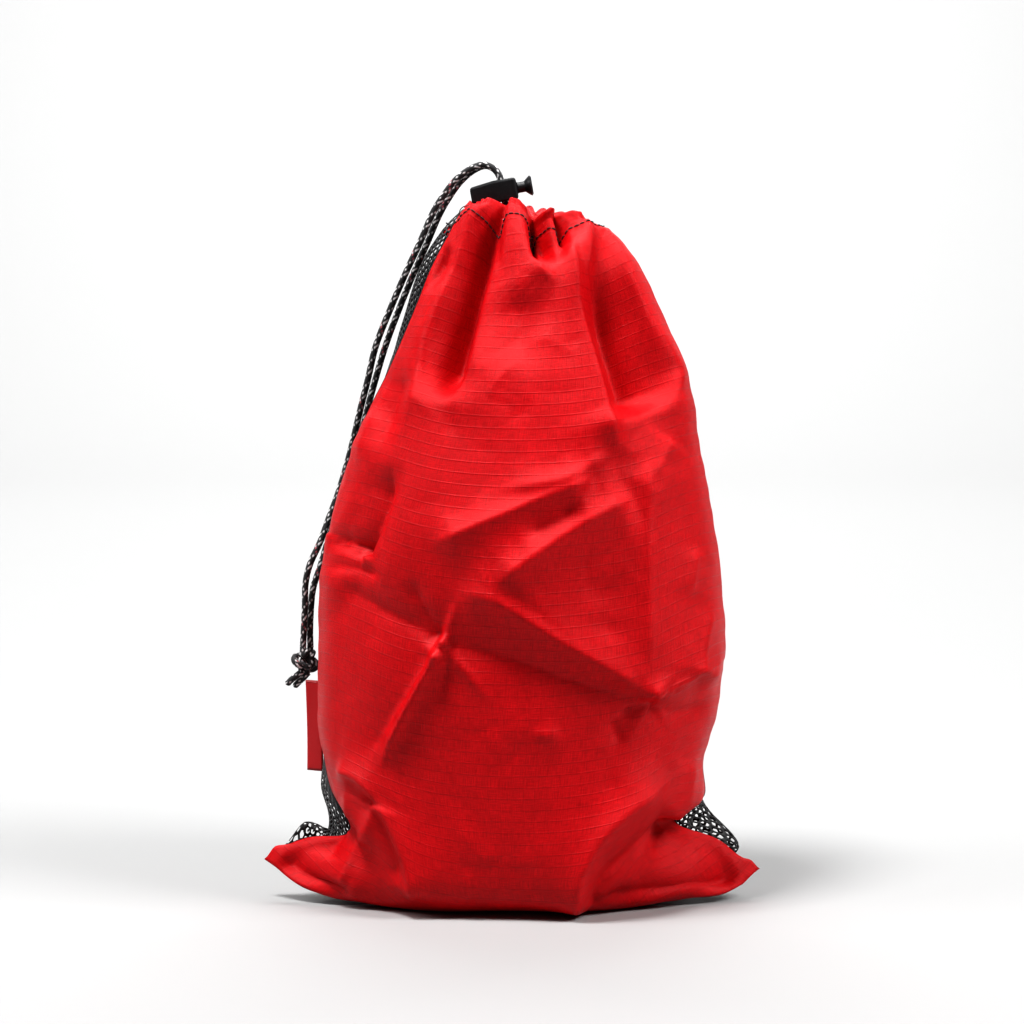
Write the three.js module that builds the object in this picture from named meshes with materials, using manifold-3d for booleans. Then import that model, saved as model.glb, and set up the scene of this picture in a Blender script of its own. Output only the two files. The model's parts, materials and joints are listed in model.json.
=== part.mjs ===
// A drawstring stuff sack, standing filled: a ripstop front panel and a mesh back panel sewn
// together at the sides and the bottom, a folded casing round the mouth, a drawcord that runs
// in the casing and out through a spring cord lock, and a folded label in the left side seam.
//
// Millimetres. +Z is up, +X is the wearer's right as the front is looked at, and the ripstop
// front faces -Y. The origin is on the ground at the middle of the sack.
import * as THREE from 'three';
import { mergeVertices } from 'three/addons/utils/BufferGeometryUtils.js';
import Module from 'manifold-3d';

const wasm = await Module();
wasm.setup();

// ---------------------------------------------------------------- driving dimensions

const WALL = 1.0;              // thickness that each fabric layer is given
const LAYER_GAP = 0.2;         // from the middle surface of the sack to a panel's inner face
const CLEAR = 0.3;             // gap between pieces that touch
const EAR_REACH = 112.6;       // from the middle to the tip of each bottom corner
const LEFT_EAR = { tip: 19.5, edge: 28, notch: 32 };    // heights along the left corner's seam
const RIGHT_EAR = { tip: 12.5, edge: 24, notch: 37 };   // and along the right corner's seam

const CORD = 3.0;              // diameter of the drawcord
const CORD_SIDES = 8;
const HEM = { low: 0.925, high: 0.992 };  // share of the panel height that the casing covers

const LOCK = {
  hole: [-4.3, 1.5, 321.2],    // middle of the cord hole
  tilt: 10,                    // degrees that the plunger's end is raised
  back: 14.3,                  // from the cord hole to the closed end
  front: 6.7,                  // from the cord hole to the open end
  backHeight: 7.6,
  frontHeight: 9.8,
  depth: 12.6,
  bore: [10.2, 5.6],           // width and height of the plunger's bore
  boreWall: 1.4,               // thickness of the closed end
  slot: [-3.5, 1.95],          // the cord hole, along the lock
  slotWidth: 7.3,
};
const PLUNGER = {
  shaft: [9.6, 5.0],
  from: -4.4,
  shoulder: 7.0,
  neckRadius: 2.4,
  headFrom: 10.2,
  headTo: 13.6,
  headRadius: 4.6,
  slot: [-2.1, 5.7],           // the plunger's cord window, along the lock
};
const SPRING = { radius: 2.0, wire: 0.5, turns: 5 };

const LABEL = { pivot: [-89.6, 9, 56.5], width: 8.6, height: 41.5, ply: 0.45, turn: 20 };

// ---------------------------------------------------------------- materials

const cloth = (color, roughness) => new THREE.MeshStandardMaterial({ color, roughness, metalness: 0 });
const RED_RIPSTOP = cloth(0xd0121c, 0.45);
const BLACK_MESH = cloth(0x141416, 0.7);
const BLACK_TAPE = cloth(0x18181a, 0.85);
const BLACK_THREAD = cloth(0x101012, 0.8);
const BLACK_BRAID = cloth(0x161416, 0.75);
const RED_SATIN = cloth(0xb80a14, 0.35);
const LOCK_PLASTIC = new THREE.MeshStandardMaterial({ color: 0x17171a, roughness: 0.5, metalness: 0 });
const SPRING_STEEL = new THREE.MeshStandardMaterial({ color: 0xa8aaac, roughness: 0.3, metalness: 1 });

// ---------------------------------------------------------------- the shape of the filled sack

// Cross-sections of the body, from above the corners to the mouth: height, left and right
// edge, half the depth, and how far behind the middle each side seam lies.
const STATIONS = [
  { z: 72, left: -87.2, right: 89.6, depth: 58.4, leftSeam: 7, rightSeam: 4 },
  { z: 94, left: -87.7, right: 94.0, depth: 59.8, leftSeam: 8, rightSeam: 5 },
  { z: 131, left: -86.3, right: 94.5, depth: 60.2, leftSeam: 6, rightSeam: 5 },
  { z: 172, left: -81.3, right: 90.0, depth: 58.8, leftSeam: 2, rightSeam: 4 },
  { z: 213, left: -68.1, right: 82.2, depth: 52.8, leftSeam: -4, rightSeam: 3 },
  { z: 241, left: -55.4, right: 73.6, depth: 44.8, leftSeam: -8, rightSeam: 2 },
  { z: 268, left: -45.4, right: 63.1, depth: 35.0, leftSeam: -11, rightSeam: 0 },
  { z: 287, left: -38.1, right: 51.8, depth: 27.5, leftSeam: -10, rightSeam: 0 },
  { z: 302, left: -28.0, right: 37.0, depth: 20.0, leftSeam: -5, rightSeam: 0 },
  { z: 313.6, left: -19.4, right: 29.6, depth: 14.5, leftSeam: 0, rightSeam: 0 },
];

// Control points of every row are spread over the panel's width at these shares of it.
const SPREAD = [0, 0.35, 0.65, 0.85, 1];
const GROUND = LAYER_GAP + WALL;   // height of the middle surface where the sack rests
const SEAM_SHARE = 0.03;           // share of the width over which a panel turns to its seam

// The bottom seam and the rows over it, from the middle of the sack out to the side seam.
// The outermost point of each row is on the side seam, whose height differs left and right.
const SEAM_POINTS = [[EAR_REACH, -11], [92.5, -13], [72.5, -17], [82, -8]];
const seamHeights = (ear) => [ear.tip, ear.edge, ear.notch, 51];
const BOTTOM_SEAM = [[0, -15, GROUND], [40, -18, GROUND], [70, -26, 2.5], [92, -22, 7]];
const FRONT_FOOT = [
  BOTTOM_SEAM,
  [[0, -37, GROUND], [40, -37, GROUND], [66, -36, 6], [82, -31, 14]],
  [[0, -52, 9], [40, -50, 10], [60, -42, 22], [68, -27, 33]],
  [[0, -56, 29], [40, -53, 30], [64, -41, 41], [77, -24, 48]],
];
const BACK_FOOT = [
  BOTTOM_SEAM,
  [[0, 6, GROUND], [40, 5, GROUND], [68, -6, 3], [87, -7, 13]],
  [[0, 34, GROUND], [40, 31, GROUND], [70, 10, 9], [83, -3, 26]],
  [[0, 51, 15], [40, 49, 17], [70, 30, 31], [85, 6, 45]],
];

const mirrored = (half) => [...half.slice(1).reverse().map((p) => [-p[0], p[1], p[2]]), ...half];

// One row near the ground, from the left side seam to the right one.
function footRow(points, index) {
  const [x, y] = SEAM_POINTS[index];
  const left = [-x, y, seamHeights(LEFT_EAR)[index]];
  const right = [x, y, seamHeights(RIGHT_EAR)[index]];
  return [left, ...mirrored(points), right];
}

// One row of the body: an ellipse, cut where the side seams lie. side is -1 for the front.
function bodyRow(station, side) {
  const { z, left, right, depth, leftSeam, rightSeam } = station;
  const middle = (left + right) / 2;
  const reach = (right - left) / 2;
  const quarter = Math.PI / 2;
  const leftEnd = quarter - side * Math.asin(leftSeam / depth);
  const rightEnd = quarter - side * Math.asin(rightSeam / depth);
  const angles = [
    ...SPREAD.slice(1).reverse().map((share) => -share * leftEnd),
    ...SPREAD.map((share) => share * rightEnd),
  ];
  return angles.map((a) => [middle + reach * Math.sin(a), side * depth * Math.cos(a), z]);
}

const smooth = (points) => new THREE.CatmullRomCurve3(points, false, 'catmullrom', 0.5);
const vectors = (rows) => rows.map((p) => new THREE.Vector3(...p));

// A panel is a set of rows, from the bottom seam up to the mouth.
function panelRows(foot, side) {
  const rows = [...foot.map(footRow), ...STATIONS.map((station) => bodyRow(station, side))];
  return rows.map((row) => smooth(vectors(row)));
}

// The point at share s of the width and t of the height, on the panel's middle surface.
function panelPoint(panel, s, t) {
  const p = smooth(panel.rows.map((row) => row.getPoint(s))).getPoint(t);
  p.z = Math.max(p.z, GROUND);
  return p;
}

// The direction out of the sack there. At a side seam both panels share one, straight outwards,
// so that their edges lie side by side.
function panelNormal(panel, s, t) {
  const h = 0.004;
  const across = panelPoint(panel, Math.min(s + h, 1), t).sub(panelPoint(panel, Math.max(s - h, 0), t));
  const up = panelPoint(panel, s, Math.min(t + h, 1)).sub(panelPoint(panel, s, Math.max(t - h, 0)));
  const normal = across.cross(up).multiplyScalar(-panel.side).normalize();
  const shared = 1 - THREE.MathUtils.smoothstep(Math.min(s, 1 - s), 0, SEAM_SHARE);
  const outwards = new THREE.Vector3(s < 0.5 ? -1 : 1, 0, 0);
  return normal.lerp(outwards, shared).normalize();
}

// The point a distance out from the middle surface, never under the ground.
function offsetPoint(panel, s, t, distance) {
  const p = panelPoint(panel, s, t).addScaledVector(panelNormal(panel, s, t), distance);
  p.z = Math.max(p.z, GROUND - distance);
  return p;
}

const FRONT = { side: -1, rows: panelRows(FRONT_FOOT, -1) };
const BACK = { side: 1, rows: panelRows(BACK_FOOT, 1) };

// ---------------------------------------------------------------- solids from grids of points

// A closed solid between two grids of points of the same size, joined round their rims.
function layerSolid(outer, inner) {
  const rows = outer.length;
  const columns = outer[0].length;
  const points = [...outer.flat(), ...inner.flat()];
  const at = (layer, r, c) => layer * rows * columns + r * columns + c;
  const index = [];
  const quad = (a, b, c, d) => index.push(a, b, c, a, c, d);
  for (let r = 0; r + 1 < rows; r++) {
    for (let c = 0; c + 1 < columns; c++) {
      quad(at(0, r, c), at(0, r, c + 1), at(0, r + 1, c + 1), at(0, r + 1, c));
      quad(at(1, r, c), at(1, r + 1, c), at(1, r + 1, c + 1), at(1, r, c + 1));
    }
  }
  for (let c = 0; c + 1 < columns; c++) {
    quad(at(1, 0, c), at(1, 0, c + 1), at(0, 0, c + 1), at(0, 0, c));
    quad(at(0, rows - 1, c), at(0, rows - 1, c + 1), at(1, rows - 1, c + 1), at(1, rows - 1, c));
  }
  for (let r = 0; r + 1 < rows; r++) {
    quad(at(0, r, 0), at(0, r + 1, 0), at(1, r + 1, 0), at(1, r, 0));
    quad(at(1, r, columns - 1), at(1, r + 1, columns - 1), at(0, r + 1, columns - 1), at(0, r, columns - 1));
  }
  return facingOut(points, index);
}

function signedVolume(points, index) {
  let total = 0;
  for (let i = 0; i < index.length; i += 3) {
    const [a, b, c] = [0, 1, 2].map((k) => points[index[i + k]]);
    total += a.clone().cross(b).dot(c);
  }
  return total / 6;
}

function facingOut(points, index) {
  const faces = signedVolume(points, index) < 0 ? [...index].reverse() : index;
  const geometry = new THREE.BufferGeometry().setFromPoints(points);
  geometry.setIndex(faces);
  geometry.computeVertexNormals();
  return geometry;
}

const steps = (from, to, count) =>
  Array.from({ length: count + 1 }, (_, i) => from + ((to - from) * i) / count);

// A layer of cloth on a panel, between two offsets from its middle surface.
function clothLayer(panel, across, up, offsets) {
  const grid = (offset) => up.map((t) => across.map((s) => offsetPoint(panel, s, t, offset)));
  return layerSolid(grid(offsets[1]), grid(offsets[0]));
}

function panelPiece(name, panel, material) {
  const across = steps(0.002, 0.998, 22);
  const up = steps(0.003, 1, 30);
  return piece(name, clothLayer(panel, across, up, [LAYER_GAP, LAYER_GAP + WALL]), material);
}

// The part of a hem that is folded in and down, which closes the channel of the drawcord.
function casingPiece(name, panel, material) {
  const inner = LAYER_GAP - CLEAR - CORD - CLEAR;
  const across = steps(0.16, 0.97, 16);
  const up = steps(HEM.low, HEM.high, 3);
  return piece(name, clothLayer(panel, across, up, [inner - WALL, inner]), material);
}

// ---------------------------------------------------------------- tubes, tapes and stitching

function circle(radius, sides) {
  return new THREE.Shape(steps(0, 1, sides).slice(1).map((share) =>
    new THREE.Vector2(radius * Math.cos(2 * Math.PI * share), radius * Math.sin(2 * Math.PI * share))));
}

function tube(points, radius, sides, stepCount) {
  const extrudePath = smooth(points);
  return new THREE.ExtrudeGeometry(circle(radius, sides), { steps: stepCount, extrudePath });
}

// One row of thread along the outside of a panel, where the hem is sewn down.
function hemStitch(name, panel) {
  const radius = 0.25;
  const path = steps(0.03, 0.97, 24).map((s) =>
    offsetPoint(panel, s, HEM.low, LAYER_GAP + WALL + CLEAR + radius));
  return piece(name, tube(path, radius, 6, 36), BLACK_THREAD);
}

// The tape round a seam's raw edges, which stands in from the seam on the inside.
function seamTape(name, base, inward, width, thickness) {
  const faces = [thickness / 2, -thickness / 2];
  const grids = faces.map((half) => base.map((p, i) => {
    const along = base[Math.min(i + 1, base.length - 1)].clone().sub(base[Math.max(i - 1, 0)]);
    const into = inward(p);
    const across = along.cross(into).normalize().multiplyScalar(half);
    return [CLEAR, CLEAR + width].map((depth) => p.clone().addScaledVector(into, depth).add(across));
  }));
  return piece(name, layerSolid(grids[0], grids[1]), BLACK_TAPE);
}

function sideTape(name, s) {
  const base = steps(0.34, 0.84, 18).map((t) => panelPoint(FRONT, s, t));
  const inward = (p) => new THREE.Vector3(5 - p.x, -p.y, 0).normalize();
  return seamTape(name, base, inward, 6, 0.8);
}

function bottomTape(name) {
  const base = steps(0.32, 0.68, 14).map((s) => panelPoint(FRONT, s, 0).setZ(GROUND + 0.6));
  const inward = () => new THREE.Vector3(0, 1, 0.35).normalize();
  return seamTape(name, base, inward, 6, 0.8);
}

// The close row of stitches that stops the casing from tearing where the drawcord comes out.
function exitBartack(name) {
  const offset = LAYER_GAP + WALL + CLEAR;
  const geometry = clothLayer(FRONT, steps(0.155, 0.185, 2), steps(0.945, 0.985, 2), [offset, offset + 0.5]);
  return piece(name, geometry, BLACK_THREAD);
}

// ---------------------------------------------------------------- drawcord

// The part of the drawcord that runs round the mouth, inside the casing.
function drawcordLoop(name) {
  const middle = (HEM.low + HEM.high) / 2;
  const inset = LAYER_GAP - CLEAR - CORD / 2;
  const front = steps(0.13, 1, 14).map((s) => offsetPoint(FRONT, s, middle, inset));
  const back = steps(1, 0.13, 14).map((s) => offsetPoint(BACK, s, middle, inset));
  return piece(name, tube([...front, ...back.slice(1)], CORD / 2, CORD_SIDES, 64), BLACK_BRAID);
}

// Routes of the two loose ends: out of the casing, through the cord lock, over in an arch and
// down the left side of the sack to the knot that joins them.
const LEFT_TAIL = [
  [-12.6, -4.6, 310.2], [-8.2, -2.8, 312.4], [-4.4, -0.9, 313.4], [-3.1, -0.3, 315.0],
  [-3.7, -0.25, 318.0], [-4.3, -0.25, 321.2], [-5.1, -0.25, 325.9], [-7.0, -0.1, 329.7],
  [-10.1, 0.3, 332.0], [-13.6, 1.0, 332.7], [-19.3, 2.0, 330.4], [-25.3, 3.0, 325.8],
  [-30.2, 3.9, 319.6], [-35.4, 4.8, 311.5], [-41.4, 5.9, 298.0], [-48.2, 7.2, 283.6],
  [-55.2, 8.8, 267.5], [-61.8, 10.4, 251.0], [-65.6, 12.0, 235.6], [-69.6, 14.4, 220.2],
  [-74.2, 17.8, 201.6], [-79.4, 19.2, 184.0], [-84.2, 17.2, 171.0], [-88.0, 14.0, 160.6],
  [-92.3, 12.0, 150.6], [-94.4, 12.0, 141.6], [-94.6, 12.6, 131.0], [-94.8, 13.8, 121.0],
  [-95.0, 15.0, 113.4],
];
const RIGHT_TAIL = [
  [-12.2, 4.4, 310.4], [-8.2, 4.1, 312.4], [-4.4, 3.5, 313.4], [-3.1, 3.3, 315.0],
  [-3.7, 3.25, 318.0], [-4.3, 3.25, 321.2], [-5.1, 3.25, 325.9], [-7.0, 3.3, 329.4],
  [-10.1, 3.7, 331.4], [-13.4, 4.4, 331.9], [-18.4, 5.4, 329.4], [-23.6, 6.4, 324.6],
  [-28.2, 7.3, 318.2], [-33.0, 8.2, 309.8], [-38.8, 9.4, 296.4], [-45.2, 10.8, 282.2],
  [-51.6, 12.4, 266.6], [-57.6, 14.2, 250.6], [-62.4, 16.6, 235.0], [-66.8, 19.4, 219.4],
  [-71.6, 22.4, 201.4], [-76.8, 23.4, 184.0], [-81.6, 22.0, 170.6], [-85.4, 19.6, 158.6],
  [-87.8, 17.8, 148.4], [-90.6, 16.6, 139.6], [-91.6, 16.4, 131.0], [-91.8, 17.0, 121.0],
  [-91.6, 17.8, 113.4],
];
const KNOT = { middle: [-93.6, 16.4, 106.2], radii: [6.0, 5.8, 6.6] };
const LEFT_END = [[-98.4, 16.2, 99.9], [-101.2, 16.0, 97.6], [-104.2, 15.8, 94.6]];
const RIGHT_END = [[-95.0, 17.8, 98.4], [-97.6, 18.6, 96.4], [-100.4, 19.2, 93.8]];

function cordPiece(name, route, stepCount) {
  return piece(name, tube(vectors(route), CORD / 2, CORD_SIDES, stepCount), BLACK_BRAID);
}

function cordKnot(name) {
  const knot = piece(name, new THREE.SphereGeometry(1, 16, 12), BLACK_BRAID);
  knot.geometry.scale(...KNOT.radii);
  knot.position.set(...KNOT.middle);
  return knot;
}

// ---------------------------------------------------------------- cord lock

// These are built round the middle of the cord hole: x along the plunger, z along the cords.

function asManifold(geometry) {
  const bare = geometry.clone();
  bare.deleteAttribute('normal');
  bare.deleteAttribute('uv');
  const merged = mergeVertices(bare, 1e-4);
  const vertProperties = new Float32Array(merged.attributes.position.array);
  const triVerts = new Uint32Array(merged.index.array);
  return new wasm.Manifold(new wasm.Mesh({ numProp: 3, vertProperties, triVerts }));
}

function asGeometry(manifold) {
  const mesh = manifold.getMesh();
  const geometry = new THREE.BufferGeometry();
  geometry.setAttribute('position', new THREE.BufferAttribute(mesh.vertProperties, 3));
  geometry.setIndex(new THREE.BufferAttribute(mesh.triVerts, 1));
  geometry.computeVertexNormals();
  return geometry;
}

// A box given by where it starts and ends along x, and its full width (y) and height (z).
function block(fromX, toX, width, height) {
  const geometry = new THREE.BoxGeometry(toX - fromX, width, height);
  return geometry.translate((fromX + toX) / 2, 0, 0);
}

// The side view of the barrel: taller at its open end, with rounded corners.
function barrelOutline() {
  const { back, front, backHeight, frontHeight } = LOCK;
  const corner = 1.6;
  const low = backHeight / 2;
  const high = frontHeight / 2;
  const outline = new THREE.Shape();
  outline.moveTo(-back, -low + corner);
  outline.quadraticCurveTo(-back, -low, -back + corner, -low);
  outline.lineTo(-4, -high);
  outline.lineTo(front - corner, -high);
  outline.quadraticCurveTo(front, -high, front, -high + corner);
  outline.lineTo(front, high - corner);
  outline.quadraticCurveTo(front, high, front - corner, high);
  outline.lineTo(-4, high);
  outline.lineTo(-back + corner, low);
  outline.quadraticCurveTo(-back, low, -back, low - corner);
  return outline;
}

function lockBody(name) {
  const bevel = 0.9;
  const options = {
    depth: LOCK.depth - 2 * bevel, bevelThickness: bevel, bevelSize: bevel, bevelOffset: -bevel,
    bevelSegments: 2, curveSegments: 3,
  };
  const barrel = new THREE.ExtrudeGeometry(barrelOutline(), options);
  barrel.translate(0, 0, -LOCK.depth / 2 + bevel).rotateX(Math.PI / 2);
  const bore = block(-LOCK.back + LOCK.boreWall, LOCK.front + 5, ...LOCK.bore);
  const slot = block(...LOCK.slot, LOCK.slotWidth, 30);
  const solid = asManifold(barrel).subtract(asManifold(bore)).subtract(asManifold(slot));
  return piece(name, asGeometry(solid), LOCK_PLASTIC);
}

// A turned shape round the x axis, from its radius at each place along it.
function turned(profile) {
  const points = profile.map(([x, radius]) => new THREE.Vector2(radius, x));
  return new THREE.LatheGeometry(points, 20).rotateZ(-Math.PI / 2);
}

function lockPlunger(name) {
  const { shaft, from, shoulder, neckRadius, headFrom, headTo, headRadius, slot } = PLUNGER;
  const stem = asManifold(block(from, shoulder, ...shaft));
  const button = asManifold(turned([
    [shoulder - 1, 0], [shoulder - 1, neckRadius], [headFrom, neckRadius],
    [headFrom + 1.6, headRadius - 0.8], [headTo - 0.7, headRadius], [headTo, headRadius - 0.7],
    [headTo, 0],
  ]));
  const opening = asManifold(block(...slot, LOCK.slotWidth, 30));
  return piece(name, asGeometry(stem.subtract(opening).add(button)), LOCK_PLASTIC);
}

function lockSpring(name) {
  const { radius, wire, turns } = SPRING;
  const start = -LOCK.back + LOCK.boreWall + CLEAR + wire / 2;
  const end = PLUNGER.from - CLEAR - wire / 2;
  const path = steps(0, 1, turns * 8).map((share) => {
    const angle = 2 * Math.PI * turns * share;
    return new THREE.Vector3(start + (end - start) * share, radius * Math.cos(angle), radius * Math.sin(angle));
  });
  return piece(name, tube(path, wire / 2, 5, turns * 12), SPRING_STEEL);
}

function cordLock() {
  const lock = new THREE.Group();
  lock.add(lockBody('cord_lock_body'), lockPlunger('cord_lock_plunger'), lockSpring('cord_lock_spring'));
  lock.position.set(...LOCK.hole);
  lock.rotation.y = -THREE.MathUtils.degToRad(LOCK.tilt);
  return lock;
}

// ---------------------------------------------------------------- label

// A strip of ribbon folded in half, with its fold outwards and its raw ends in the side seam.
function sideLabel(name) {
  const { pivot, width, height, ply, turn } = LABEL;
  const outside = ply + CLEAR / 2;
  const inside = CLEAR / 2;
  const outline = new THREE.Shape();
  outline.moveTo(0, inside);
  outline.lineTo(0, outside);
  outline.lineTo(-width + outside, outside);
  outline.absarc(-width + outside, 0, outside, Math.PI / 2, 1.5 * Math.PI, false);
  outline.lineTo(0, -outside);
  outline.lineTo(0, -inside);
  outline.lineTo(-width + outside, -inside);
  outline.absarc(-width + outside, 0, inside, 1.5 * Math.PI, Math.PI / 2, true);
  outline.lineTo(0, inside);
  const ribbon = new THREE.ExtrudeGeometry(outline, { depth: height, bevelEnabled: false, curveSegments: 6 });
  const label = piece(name, ribbon, RED_SATIN);
  label.position.set(...pivot);
  label.rotation.z = -THREE.MathUtils.degToRad(turn);
  return label;
}

// ---------------------------------------------------------------- assembly

function piece(name, geometry, material) {
  const mesh = new THREE.Mesh(geometry, material);
  mesh.name = name;
  return mesh;
}

const group = new THREE.Group();
group.add(
  panelPiece('front_panel', FRONT, RED_RIPSTOP),
  panelPiece('back_panel', BACK, BLACK_MESH),
  casingPiece('front_casing', FRONT, RED_RIPSTOP),
  casingPiece('back_casing', BACK, RED_RIPSTOP),
  hemStitch('front_casing_stitch', FRONT),
  hemStitch('back_casing_stitch', BACK),
  sideTape('left_seam_tape', 0),
  sideTape('right_seam_tape', 1),
  bottomTape('bottom_seam_tape'),
  exitBartack('exit_bartack'),
  drawcordLoop('drawcord_loop'),
  cordPiece('drawcord_left_tail', LEFT_TAIL, 80),
  cordPiece('drawcord_right_tail', RIGHT_TAIL, 80),
  cordKnot('drawcord_knot'),
  cordPiece('drawcord_left_end', LEFT_END, 4),
  cordPiece('drawcord_right_end', RIGHT_END, 4),
  cordLock(),
  sideLabel('side_label'),
);

export default group;
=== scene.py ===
import json
import math

import bpy
import numpy as np
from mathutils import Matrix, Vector


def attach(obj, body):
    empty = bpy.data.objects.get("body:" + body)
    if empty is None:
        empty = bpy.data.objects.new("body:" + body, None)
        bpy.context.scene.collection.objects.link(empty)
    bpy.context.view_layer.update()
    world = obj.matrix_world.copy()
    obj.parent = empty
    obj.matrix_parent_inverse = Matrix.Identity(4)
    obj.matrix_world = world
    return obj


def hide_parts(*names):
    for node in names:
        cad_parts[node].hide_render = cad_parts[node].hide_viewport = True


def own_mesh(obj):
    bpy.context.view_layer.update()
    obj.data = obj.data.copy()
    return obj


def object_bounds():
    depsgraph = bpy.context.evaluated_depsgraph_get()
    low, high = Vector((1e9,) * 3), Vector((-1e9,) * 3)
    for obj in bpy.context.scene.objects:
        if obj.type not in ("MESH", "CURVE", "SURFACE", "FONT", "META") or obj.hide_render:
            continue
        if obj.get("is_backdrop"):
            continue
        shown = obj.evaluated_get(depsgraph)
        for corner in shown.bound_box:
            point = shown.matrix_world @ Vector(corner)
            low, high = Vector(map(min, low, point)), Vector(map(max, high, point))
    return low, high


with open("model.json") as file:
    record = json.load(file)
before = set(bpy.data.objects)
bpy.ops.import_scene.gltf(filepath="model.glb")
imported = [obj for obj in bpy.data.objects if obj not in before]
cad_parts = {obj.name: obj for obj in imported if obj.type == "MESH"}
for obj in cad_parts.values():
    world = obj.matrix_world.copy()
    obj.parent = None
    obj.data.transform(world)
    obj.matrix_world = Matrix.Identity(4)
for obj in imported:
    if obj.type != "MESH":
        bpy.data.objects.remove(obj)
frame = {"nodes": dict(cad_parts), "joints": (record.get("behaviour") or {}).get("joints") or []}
cad_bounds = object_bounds()

MM = 0.001
scene = bpy.context.scene

# ---- camera

CAMERA_DISTANCE = 1.4
CAMERA_HEIGHT_DEG = 7.0
LENS = 108.4          # millimetres, for a sensor 36 wide
SENSOR_WIDTH = 36
LOOKS_AT = Vector((0.0, 0.0, 0.176))


def aim(thing, target):
    thing.rotation_euler = (target - thing.location).to_track_quat("-Z", "Y").to_euler()


def add_camera():
    data = bpy.data.cameras.new("camera")
    data.lens = LENS
    data.sensor_width = SENSOR_WIDTH
    data.dof.use_dof = False
    camera = bpy.data.objects.new("camera", data)
    rise = math.radians(CAMERA_HEIGHT_DEG)
    camera.location = LOOKS_AT + CAMERA_DISTANCE * Vector((0, -math.cos(rise), math.sin(rise)))
    aim(camera, LOOKS_AT)
    scene.collection.objects.link(camera)
    scene.camera = camera


add_camera()

# ---- meshes and lines


def build_mesh(name, points, face_sets, uv=None, colours=None):
    """A smooth-shaded mesh from points in millimetres and arrays of faces."""
    points = np.asarray(points, float)
    corners = np.concatenate([np.asarray(f).ravel() for f in face_sets]).astype(np.int32)
    sizes = np.concatenate([np.full(len(f), np.shape(f)[1]) for f in face_sets])
    mesh = bpy.data.meshes.new(name)
    mesh.vertices.add(len(points))
    mesh.vertices.foreach_set("co", (points * MM).ravel())
    mesh.loops.add(len(corners))
    mesh.loops.foreach_set("vertex_index", corners)
    mesh.polygons.add(len(sizes))
    starts = np.concatenate([[0], np.cumsum(sizes)[:-1]]).astype(np.int32)
    mesh.polygons.foreach_set("loop_start", starts)
    mesh.update(calc_edges=True)
    mesh.validate()
    if uv is not None:
        layer = mesh.uv_layers.new(name="cloth")
        layer.data.foreach_set("uv", np.asarray(uv, float)[corners].ravel())
    if colours is not None:
        attribute = mesh.attributes.new("fleck", "FLOAT_COLOR", "POINT")
        attribute.data.foreach_set("color", np.asarray(colours, float).ravel())
    mesh.shade_smooth()
    return mesh


def add_piece(name, mesh, material, body="sack", replaces=()):
    piece = bpy.data.objects.new(name, mesh)
    scene.collection.objects.link(piece)
    mesh.materials.append(material)
    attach(piece, body)
    if replaces:
        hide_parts(*replaces)
    return piece


def spline_weights(count, shares):
    """What each of count control points adds to a smooth line, at the shares of its length."""
    place = np.clip(shares, 0, 1) * (count - 1)
    first = np.minimum(place.astype(int), count - 2)
    w = place - first
    basis = [
        -0.5 * w**3 + w**2 - 0.5 * w,
        1.5 * w**3 - 2.5 * w**2 + 1,
        -1.5 * w**3 + 2 * w**2 + 0.5 * w,
        0.5 * w**3 - 0.5 * w**2,
    ]
    wide = np.zeros((len(place), count + 2))
    for k, column in enumerate(basis):
        wide[np.arange(len(place)), first + k] += column
    weights = wide[:, 1:-1].copy()
    weights[:, 0] += 2 * wide[:, 0]
    weights[:, 1] -= wide[:, 0]
    weights[:, -1] += 2 * wide[:, -1]
    weights[:, -2] -= wide[:, -1]
    return weights


def smooth_line(points, per_span=6):
    points = np.asarray(points, float)
    if len(points) == 2:
        return points[0] + np.linspace(0, 1, per_span + 1)[:, None] * (points[1] - points[0])
    shares = np.linspace(0, 1, (len(points) - 1) * per_span + 1)
    return spline_weights(len(points), shares) @ points


def lengths_along(line):
    return np.concatenate([[0], np.cumsum(np.linalg.norm(np.diff(line, axis=0), axis=1))])


def points_at(places, along, line):
    return np.stack([np.interp(places, along, line[:, k]) for k in range(3)], 1)


def even_line(line, step):
    """The same line with its points an even step apart."""
    along = lengths_along(line)
    places = np.linspace(0, along[-1], max(2, int(round(along[-1] / step)) + 1))
    return points_at(places, along, line)


def unit(vectors):
    return vectors / np.maximum(np.linalg.norm(vectors, axis=-1, keepdims=True), 1e-9)


def turned(points, angle):
    """The points turned about the upright axis."""
    c, s = math.cos(angle), math.sin(angle)
    return points @ np.array([[c, s, 0], [-s, c, 0], [0, 0, 1]])


def frames_along(line):
    """Two directions square to the line at each point, with no twist between them."""
    tangent = unit(np.gradient(line, axis=0))
    side = np.zeros_like(line)
    side[0] = unit(np.cross(tangent[0], [0.3, 0.9, 0.1]))
    for i in range(1, len(line)):
        side[i] = unit(side[i - 1] - tangent[i] * (side[i - 1] @ tangent[i]))
    return side, np.cross(tangent, side)


def tube_faces(rings, sides):
    """A closed tube's quads, and the triangles that join its end rings to its two end points."""
    ring, k = np.meshgrid(np.arange(rings - 1), np.arange(sides), indexing="ij")
    nxt = (k + 1) % sides
    quads = np.stack(
        [ring * sides + k, ring * sides + nxt, (ring + 1) * sides + nxt, (ring + 1) * sides + k], -1
    ).reshape(-1, 4)
    around = np.arange(sides)
    after = (around + 1) % sides
    last = (rings - 1) * sides
    low = np.stack([np.full(sides, rings * sides), after, around], 1)
    high = np.stack([np.full(sides, rings * sides + 1), last + around, last + after], 1)
    return quads, np.concatenate([low, high])


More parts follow.
